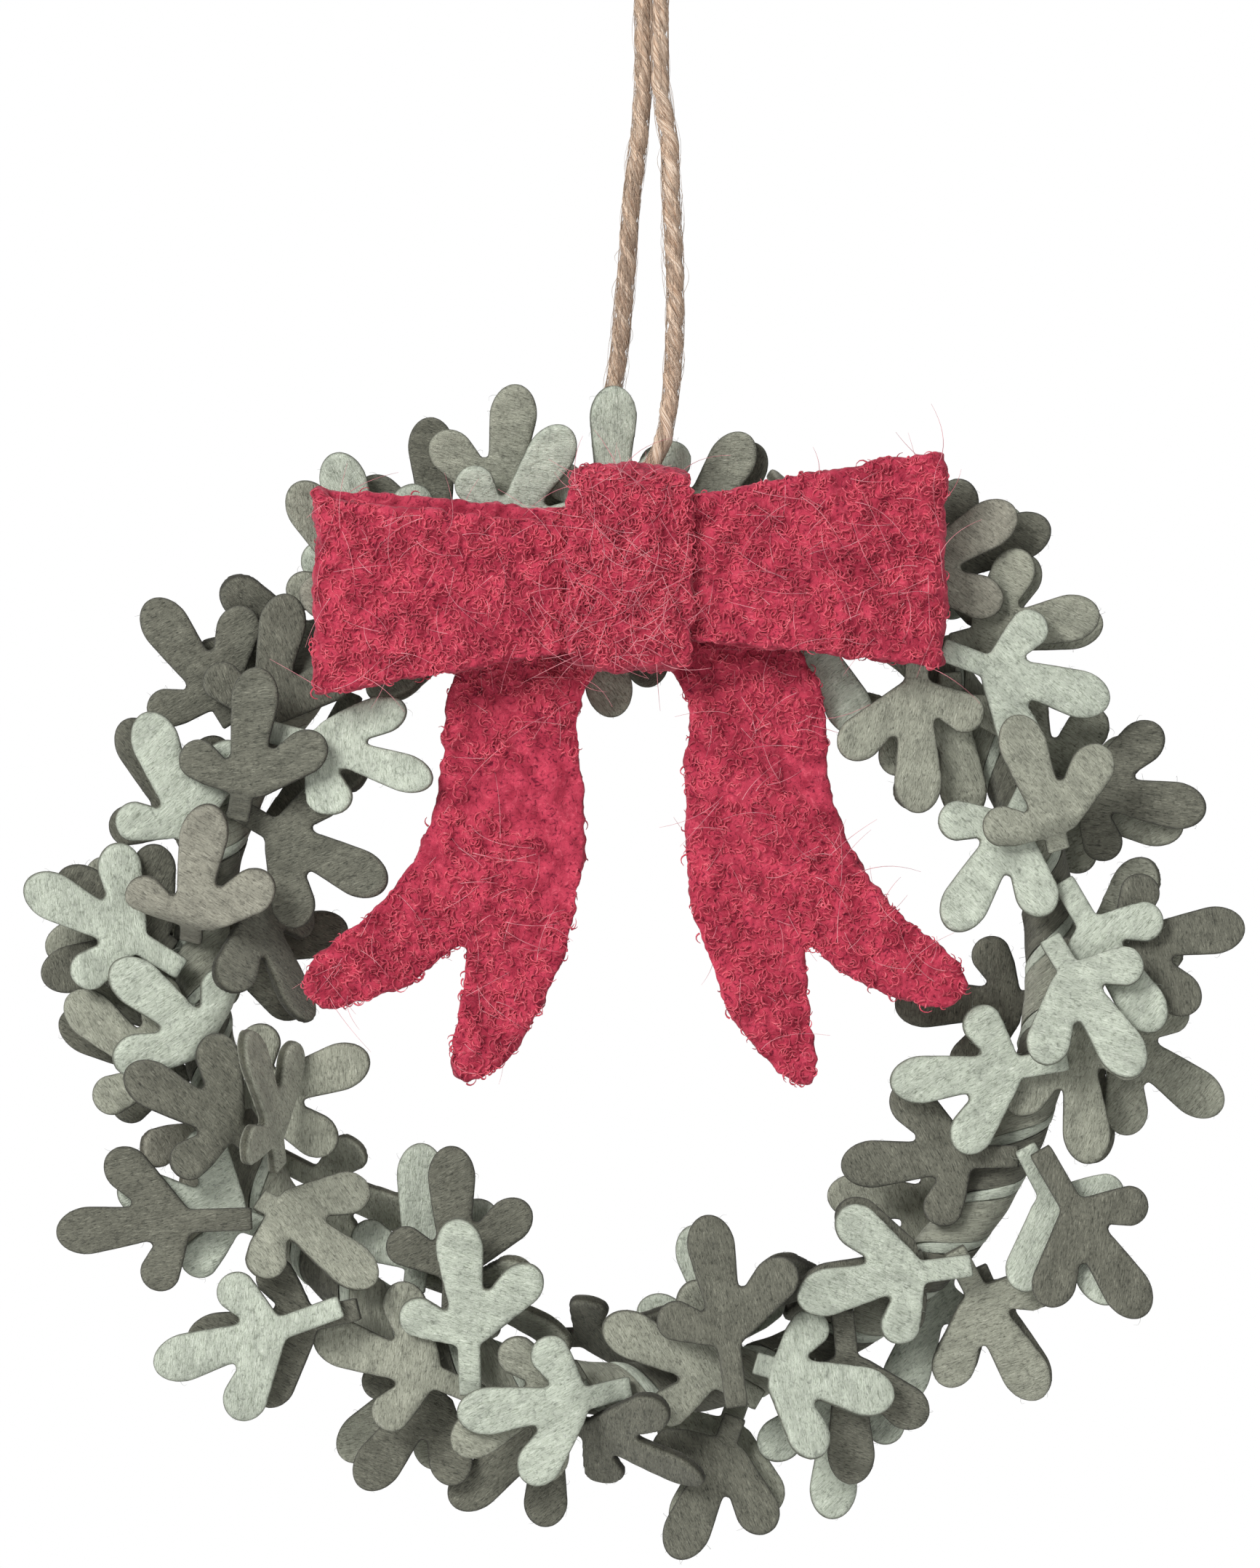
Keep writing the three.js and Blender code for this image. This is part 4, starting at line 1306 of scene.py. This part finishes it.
@dataclass
class Bow:
    """The bow: two folded loops, a band round its middle and two notched tails.

    A pile is how many curls and how many stray hairs a piece has.
    """

    grain: float = 0.36 * MM
    band_width: float = 17 * MM
    band_length: float = 62 * MM
    loop_width: float = 25 * MM
    loop_length: float = 77 * MM
    tail_width: float = 41 * MM
    tail_length: float = 65 * MM
    tail_area: float = 1420 * MM * MM
    tail_pile: tuple[int, int] = (2400, 90)
    loop_pile: tuple[int, int] = (2500, 90)
    band_pile: tuple[int, int] = (1700, 130)
    fold_line: tuple = ((-42.3 * MM, -79.8 * MM), (-11.4 * MM, -82.1 * MM))
    fold_reach: float = 9 * MM
    fold_drop: float = 1.6 * MM
    knot_bulge: float = 1.1 * MM
    knot_share: float = 0.91
    knot_corner: float = 0.07
    lump_sizes: tuple[float, float] = (5 * MM, 1.8 * MM)
    lump_height: float = 1 * MM
    ply_reach: float = 0.6 * MM
    flat_share: float = 0.65
    tip_share: float = 0.3
    front_weight: float = 1.6
    curls: Curls = Curls((0.45 * MM, 1.1 * MM), thickness=0.13 * MM, height=0.3 * MM, turn=2.6)
    hairs: Hairs = Hairs((2.5 * MM, 8 * MM), 0.045 * MM, 0.16, 0.7, steps=8, sink=-0.35 * MM)

    def lumps(self, size: float, strength: float) -> dict[str, object]:
        """The settings of a layer of soft lumps."""
        cloud = bpy.data.textures.new("lumps", "CLOUDS")
        cloud.noise_scale = size
        cloud.noise_depth = 1
        return {
            "type": "DISPLACE",
            "texture": cloud,
            "strength": strength,
            "mid_level": 0.5,
            "texture_coords": "LOCAL",
        }

    def cloth(self, node: str) -> Mesh:
        """Makes thick felted cloth of a plain solid."""
        softened = [
            {"type": "REMESH", "mode": "VOXEL", "voxel_size": self.grain},
            {"type": "SMOOTH", "factor": 0.6, "iterations": 6},
        ]
        lumps = [self.lumps(size, self.lump_height) for size in self.lump_sizes]
        return baked(merged_copy(node), softened + lumps)

    def plump(self, mesh: Mesh, low: Vector, high: Vector) -> None:
        """Draws the band in at its ends and lets its front swell.

        Args:
            mesh: The band's mesh.
            low: Its lowest corner.
            high: Its highest corner.
        """
        points = coordinates(mesh)
        middle, half = np.array(low + high) / 2, np.array(high - low) / 2
        share = np.clip((points - middle) / half, -1, 1)
        swell = np.cos(share[:, 0] * math.pi / 2) * np.cos(share[:, 2] * math.pi / 2)
        points[:, 1] -= self.knot_bulge * swell * (share[:, 1] < 0)
        narrowed = self.knot_share - self.knot_corner * share[:, 2] ** 4
        lowered = 1 - self.knot_corner * np.abs(share[:, 0]) ** 3
        for axis, drawn_in in ((0, narrowed), (2, lowered)):
            points[:, axis] = middle[axis] + (points[:, axis] - middle[axis]) * drawn_in
        reshape(mesh, points)

    def show_fold(self, mesh: Mesh, depth: float) -> None:
        """Lowers the ply in front of a depth at its upper edge, so that the back ply shows above it."""
        points = coordinates(mesh)
        (left, left_top), (right, right_top) = self.fold_line
        top = np.interp(points[:, 0], [left, right], [left_top, right_top])
        near_top = smoothstep((points[:, 2] - top + self.fold_reach) / self.fold_reach)
        inwards = smoothstep((points[:, 0] - left) / self.fold_reach)
        front = smoothstep((depth - points[:, 1]) / self.ply_reach)
        points[:, 2] -= self.fold_drop * near_top * inwards * front
        reshape(mesh, points)

    def build(self, rng: Random) -> None:
        """Adds the bow's five pieces and the curls and hairs on them."""
        wool = {pile: pile.value.material() for pile in Pile}
        slot = Pile.CLOTH.value.slot
        tail = ((self.tail_width, self.tail_length), "hung", self.tail_area, self.tail_pile)
        loop = ((self.loop_width, self.loop_length), "folded", None, self.loop_pile)
        band = ((self.band_width, self.band_length), "folded", None, self.band_pile)
        pieces = {
            "bow_tail_left": tail,
            "bow_tail_right": tail,
            "bow_loop_left": loop,
            "bow_loop_right": loop,
            "bow_knot_band": band,
        }
        for node, (flat, held, area, (curl_count, hair_count)) in pieces.items():
            mesh = self.cloth(node)
            low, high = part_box(node)
            depth = (low.y + high.y) / 2
            if node == "bow_knot_band":
                self.plump(mesh, low, high)
            if node == "bow_loop_left":
                self.show_fold(mesh, depth)

            def outer(middles: np.ndarray, normals: np.ndarray) -> np.ndarray:
                behind, facing = middles[:, 1] - depth, normals[:, 1]
                shown = (behind * facing > 0) * (np.abs(facing) > self.flat_share)
                return shown * (self.front_weight - np.sign(behind))

            paths = self.curls.paths(Surface.of(mesh, curl_count, rng, outer), rng)
            curls = fibre_mesh(paths, self.curls.thickness, self.tip_share)
            hairs = self.hairs.mesh(Surface.of(mesh, hair_count, rng, outer), rng)
            cloth = add_piece(node + "_wool", mesh, wool[Pile.CLOTH], slot, replaces=[node])
            pile = [
                add_piece(node + "_curls", curls, wool[Pile.CURLS], slot),
                add_piece(node + "_hairs", hairs, wool[Pile.HAIRS], slot),
            ]


# The cord


class Route:
    """A smooth line through given points, with a frame that turns as little as it can."""

    def __init__(self, points: Sequence[Vector], step: float = 0.2 * MM) -> None:
        """Runs through the points in even steps.

        Args:
            points: The points that the line passes.
            step: The distance between the places that it keeps.
        """
        dense = [points[0]]
        ends = [points[0] * 2 - points[1], *points, points[-1] * 2 - points[-2]]
        for a, b, c, d in zip(ends, ends[1:], ends[2:], ends[3:]):
            pieces = max(4, int((c - b).length / step))
            for index in range(1, pieces + 1):
                t = index / pieces
                bend = (a * -1 + b * 3 - c * 3 + d) * t**3 + (a * 2 - b * 5 + c * 4 - d) * t**2 + (c - a) * t
                dense.append(b + bend / 2)
        line = np.array(dense)
        self.places = line
        self.run = np.concatenate([[0], np.cumsum(np.linalg.norm(np.diff(line, axis=0), axis=1))])
        tangents = np.gradient(line, self.run, axis=0)
        tangents /= np.linalg.norm(tangents, axis=1, keepdims=True)
        side = Vector(tangents[0]).orthogonal().normalized()
        sides = [side]
        for before, after in zip(tangents, tangents[1:]):
            side = Vector(before).rotation_difference(Vector(after)) @ side
            side = (side - side.dot(Vector(after)) * Vector(after)).normalized()
            sides.append(side)
        self.sides = np.array(sides)
        self.ups = np.cross(tangents, self.sides)

    @property
    def length(self) -> float:
        """The line's length."""
        return float(self.run[-1])

    def bent(self, points: np.ndarray) -> np.ndarray:
        """Bends points that lie round the X axis along the line.

        Args:
            points: Places along X, and beside it.

        Returns:
            Their places round the line.
        """

        def between(rows: np.ndarray) -> np.ndarray:
            return np.column_stack([np.interp(points[:, 0], self.run, row) for row in rows.T])

        side, up = points[:, 1:2], points[:, 2:3]
        return between(self.places) + side * between(self.sides) + up * between(self.ups)


@dataclass
class Twine:
    """Two-ply jute twine: its size, how it is laid, and the fibres that stand off it."""

    finish: Jute = Jute()
    diameter: float = 2.2 * MM
    pitch: float = 8 * MM
    ply_share: float = 0.66
    strands: int = 6
    strand_pitch_share: float = 0.9
    ridge_share: float = 0.09
    swell_share: float = 0.07
    swell_run: float = 2.3 * MM
    sides: int = 14
    step: float = 0.35 * MM
    strays: tuple[float, float] = (3 * MM, 9 * MM)
    stray_radius: float = 0.035 * MM
    strays_per_mm: float = 9
    stray_lift: float = 0.65 * MM
    stray_steps: int = 8
    stray_turn: tuple[float, float] = (-2.5, 0.5)
    stray_shares: tuple[float, float] = (0.8, 0.92)
    loose_share: float = 0.1
    stray_power: int = 6
    flat_reach: float = 8 * MM
    flat_below: float = -72 * MM

    def mesh(self, route: Route, rng: Random) -> Mesh:
        """Lays the twine along a route.

        Args:
            route: The route.
            rng: The random numbers to use.

        Returns:
            One mesh of both plies.
        """
        steps = round(route.length / self.step)
        ply = self.diameter / 2 * self.ply_share
        plies = []
        for turn in (0, math.pi):
            mesh = rod(route.length, self.sides, steps)
            points = coordinates(mesh)
            along, around = points[:, 0], np.arctan2(points[:, 2], points[:, 1])
            lay_fibres(mesh, np.column_stack([along, around * ply, around * 0]) + rng.uniform(0, 1, 3))
            bundles = around * self.strands + 2 * math.pi * along / (self.pitch * self.strand_pitch_share)
            swell = self.swell_share * np.sin(along / self.swell_run + turn)
            thick = ply * (1 + self.ridge_share * np.sin(bundles) + swell)
            offset = self.diameter / 2 - ply
            twist = turn - 2 * math.pi * along / self.pitch
            side, up = points[:, 1] * thick + offset, points[:, 2] * thick
            across = side * np.cos(twist) - up * np.sin(twist)
            above = side * np.sin(twist) + up * np.cos(twist)
            reshape(mesh, route.bent(np.column_stack([along, across, above])))
            plies.append(mesh)
        return faced_outwards(plies, "twine")

    def fibres(self, route: Route, rng: Random) -> Mesh:
        """Lays loose fibres along the twine, which arch a little away from it except where it meets the rope.

        Args:
            route: The twine's route.
            rng: The random numbers to use.

        Returns:
            One mesh of all the fibres.
        """
        count, steps = round(route.length / MM * self.strays_per_mm), self.stray_steps
        length = rng.uniform(*self.strays, size=(count, 1))
        start = rng.uniform(0, route.length, size=(count, 1)) - length / 2
        share = np.linspace(0, 1, steps)[None, :]
        angle = rng.uniform(0, 2 * math.pi, size=(count, 1))
        angle = angle + rng.uniform(*self.stray_turn, size=(count, 1)) * share
        along = np.clip(start + length * share, 0, route.length)
        level = np.interp(along, route.run, route.places[:, 2])
        free = smoothstep((level - self.flat_below) / self.flat_reach)
        high = rng.uniform(0, 1, size=(count, 1)) ** self.stray_power
        lift = self.stray_lift * high * np.sin(math.pi * share) * free
        near = rng.uniform(*self.stray_shares, size=(count, 1))
        off = self.diameter / 2 * (near + self.loose_share * free) + lift
        points = np.stack([along, off * np.cos(angle), off * np.sin(angle)], axis=2)
        return fibre_mesh(route.bent(points.reshape(-1, 3)).reshape(count, steps, 3), self.stray_radius)


@dataclass
class Cord:
    """The hanging cord: two legs that pass round the rope, a knot and an eye."""

    hoop: Hoop
    twine: Twine = field(default_factory=Twine)
    length: float = 151 * MM
    diameter: float = 2 * MM
    left_leg: tuple = (
        (2.0, 0.75, 67.9), (2.0, 0.75, 66.6), (2.05, 0.75, 57), (1.9, 0.8, 53.3), (1.4, 1.2, 48.1),
        (0.6, 1.6, 41.3), (0.1, 2.0, 34.5), (-0.4, 2.4, 28.5), (-1.1, 2.9, 21.4), (-2.2, 3.5, 15.5),
        (-2.9, 4.1, 9),
    )
    sling: tuple = (
        (-3.1, 4.7, 2), (-2.8, 4.5, -1.4), (-2, 3.1, -3.5), (-1, 0, -4.6), (0, -3.1, -3.5), (0.8, -4.5, -1.4),
        (1.3, -4.7, 2),
    )
    right_leg: tuple = (
        (2.5, -4.2, 7.5), (4.3, -3.8, 11.5), (5.3, -3.3, 17), (5.8, -2.8, 23.7), (5.9, -2.3, 30.5),
        (5.8, -2.0, 34.5), (5.4, -1.6, 41.3), (5.2, -1.2, 48.1), (4.25, -0.8, 54), (4.05, -0.75, 58),
        (4.0, -0.75, 66.6), (4.0, -0.75, 67.9),
    )
    eye: tuple = (
        (-1.3, 0, -13.2), (-1.3, 0, -11.9), (-1.4, 0, -10.7), (-3.1, 0, -8.2), (-4.6, 0, -5.2), (-4.5, 0, -2),
        (-2.8, 0, 0.3), (0, 0, 1.1), (2.8, 0, 0.3), (4.5, 0, -2), (4.6, 0, -5.2), (3.1, 0, -8.2),
        (1.4, 0, -10.7), (1.3, 0, -11.9), (1.3, 0, -13.2),
    )
    knot_level: float = -15.2 * MM
    knot_radius: float = 2.25 * MM
    knot_height: float = 4 * MM
    knot_turns: float = 2.6
    knot_steps: int = 24
    knot_end_share: float = 0.35
    knot_opening: float = 4
    path_stride: int = 5

    def legs_route(self) -> Route:
        """Down the left leg, round the rope and up the right leg."""
        top = self.hoop.centre + Vector((0, 0, self.hoop.radius))
        return Route([top + Vector(point) * MM for point in (*self.left_leg, *self.sling, *self.right_leg)])

    def knot_route(self) -> Route:
        """Round the legs in close turns, from inside to inside."""
        points = []
        for index in range(self.knot_steps + 1):
            share = index / self.knot_steps
            angle = 2 * math.pi * self.knot_turns * share
            end_share = self.knot_end_share + self.knot_opening * min(share, 1 - share)
            reach = self.knot_radius * min(1, end_share)
            level = self.knot_level + self.knot_height * (share - 0.5)
            points.append(Vector((reach * math.cos(angle), reach * math.sin(angle), level)))
        return Route(points)

    def build(self, rng: Random) -> None:
        """Adds the legs, the eye, the knot and the fibres on them."""
        jute = self.twine.finish.material()
        slot = self.twine.finish.slot
        eye = Route([Vector(point) * MM for point in self.eye])
        routes = {"cord_legs": self.legs_route(), "cord_eye": eye, "cord_knot": self.knot_route()}
        for node, route in routes.items():
            mesh = self.twine.mesh(route, rng)
            hairs = self.twine.fibres(route, rng)
            add_piece(node + "_twine", mesh, jute, slot, HANGER, [node])
            add_piece(node + "_hairs", hairs, jute, slot, HANGER)
        route = routes["cord_legs"]


# The studio


@dataclass(frozen=True)
class Lamp:
    """A soft square lamp: where it is from the middle of the view, how wide, and its power in watts."""

    name: str
    place: Vector
    size: float
    power: float

    def build(self, view: Vector) -> None:
        """Adds the lamp, which faces the middle of the view."""
        data = bpy.data.lights.new(self.name, "AREA")
        data.size = self.size
        data.energy = self.power
        lamp = bpy.data.objects.new(self.name, data)
        lamp.location = view + self.place
        lamp.rotation_euler = (-self.place).to_track_quat("-Z", "Y").to_euler()
        bpy.context.scene.collection.objects.link(lamp)


LAMPS = (
    Lamp("key_light", Vector((-0.55, -0.85, 0.5)), 0.4, 10.6),
    Lamp("fill_light", Vector((0.7, -0.8, -0.05)), 0.8, 1.2),
)


@dataclass
class Studio:
    """A plain floor, soft light from the upper left in front, and the camera."""

    view: Vector = field(default_factory=lambda: Vector((-2.6, 0, -115.1)) * MM)
    view_height: float = 191.5 * MM
    distance: float = 0.9
    sensor: float = 36
    floor_level: float = -371.1 * MM
    floor_size: float = 1.6
    soft_light: float = 0.45

    def build(self) -> None:
        """Adds the floor, the lamps, the world and the camera."""
        self.floor()
        for lamp in LAMPS:
            lamp.build(self.view)
        self.world()
        self.camera()

    def floor(self) -> None:
        """A pale floor under the ornament."""
        form = bmesh.new()
        bmesh.ops.create_grid(form, x_segments=1, y_segments=1, size=self.floor_size / 2)
        bmesh.ops.translate(form, verts=form.verts, vec=(0, 0, self.floor_level))
        mesh = finished(form, "floor")
        mesh.materials.append(PAPER.material())
        floor = bpy.data.objects.new("floor", mesh)
        bpy.context.scene.collection.objects.link(floor)

    def world(self) -> None:
        """White to the camera, soft grey light to everything else."""
        world = bpy.data.worlds.new("studio")
        world.use_nodes = True
        nodes, links = world.node_tree.nodes, world.node_tree.links
        path = nodes.new("ShaderNodeLightPath")
        seen = nodes.new("ShaderNodeMath")
        seen.operation = "MAXIMUM"
        links.new(path.outputs["Is Camera Ray"], seen.inputs[0])
        links.new(path.outputs["Is Glossy Ray"], seen.inputs[1])
        strength = nodes.new("ShaderNodeMapRange")
        strength.inputs["To Min"].default_value = self.soft_light
        links.new(seen.outputs[0], strength.inputs["Value"])
        background = nodes["Background"]
        background.inputs["Color"].default_value = (1, 1, 1, 1)
        links.new(strength.outputs["Result"], background.inputs["Strength"])
        bpy.context.scene.world = world

    def camera(self) -> None:
        """The photograph's view, straight from the front."""
        data = bpy.data.cameras.new("camera")
        data.sensor_width = self.sensor
        data.lens = self.sensor * self.distance / self.view_height
        camera = bpy.data.objects.new("camera", data)
        camera.location = self.view - Vector((0, self.distance, 0))
        camera.rotation_euler = (math.pi / 2, 0, 0)
        bpy.context.scene.collection.objects.link(camera)
        bpy.context.scene.camera = camera
        bpy.context.scene.view_settings.view_transform = "Standard"


def dress_plain(node: str, finish: Clouded) -> None:
    """Gives a hard piece that keeps its plain solid its finish."""
    piece = bpy.data.objects[node]
    piece.data.materials.clear()
    piece.data.materials.append(finish.material())
    LOG.info("%s: %s", node, finish.name)


def main() -> None:
    """Builds the ornament's looks piece by piece."""
    logging.basicConfig(level=logging.INFO)
    rng = np.random.default_rng(SEED)
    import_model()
    hoop = Hoop()
    felts = {shade: shade.value.material() for shade in Shade}
    dress_plain("hoop_wire", STEEL)
    dress_plain("bow_glue", GLUE)
    Rope(hoop, felts).build(rng)
    Sprigs(hoop, felts).build(rng)
    Bow().build(rng)
    Cord(hoop).build(rng)
    Studio().build()


if __name__ == "__main__":
    main()
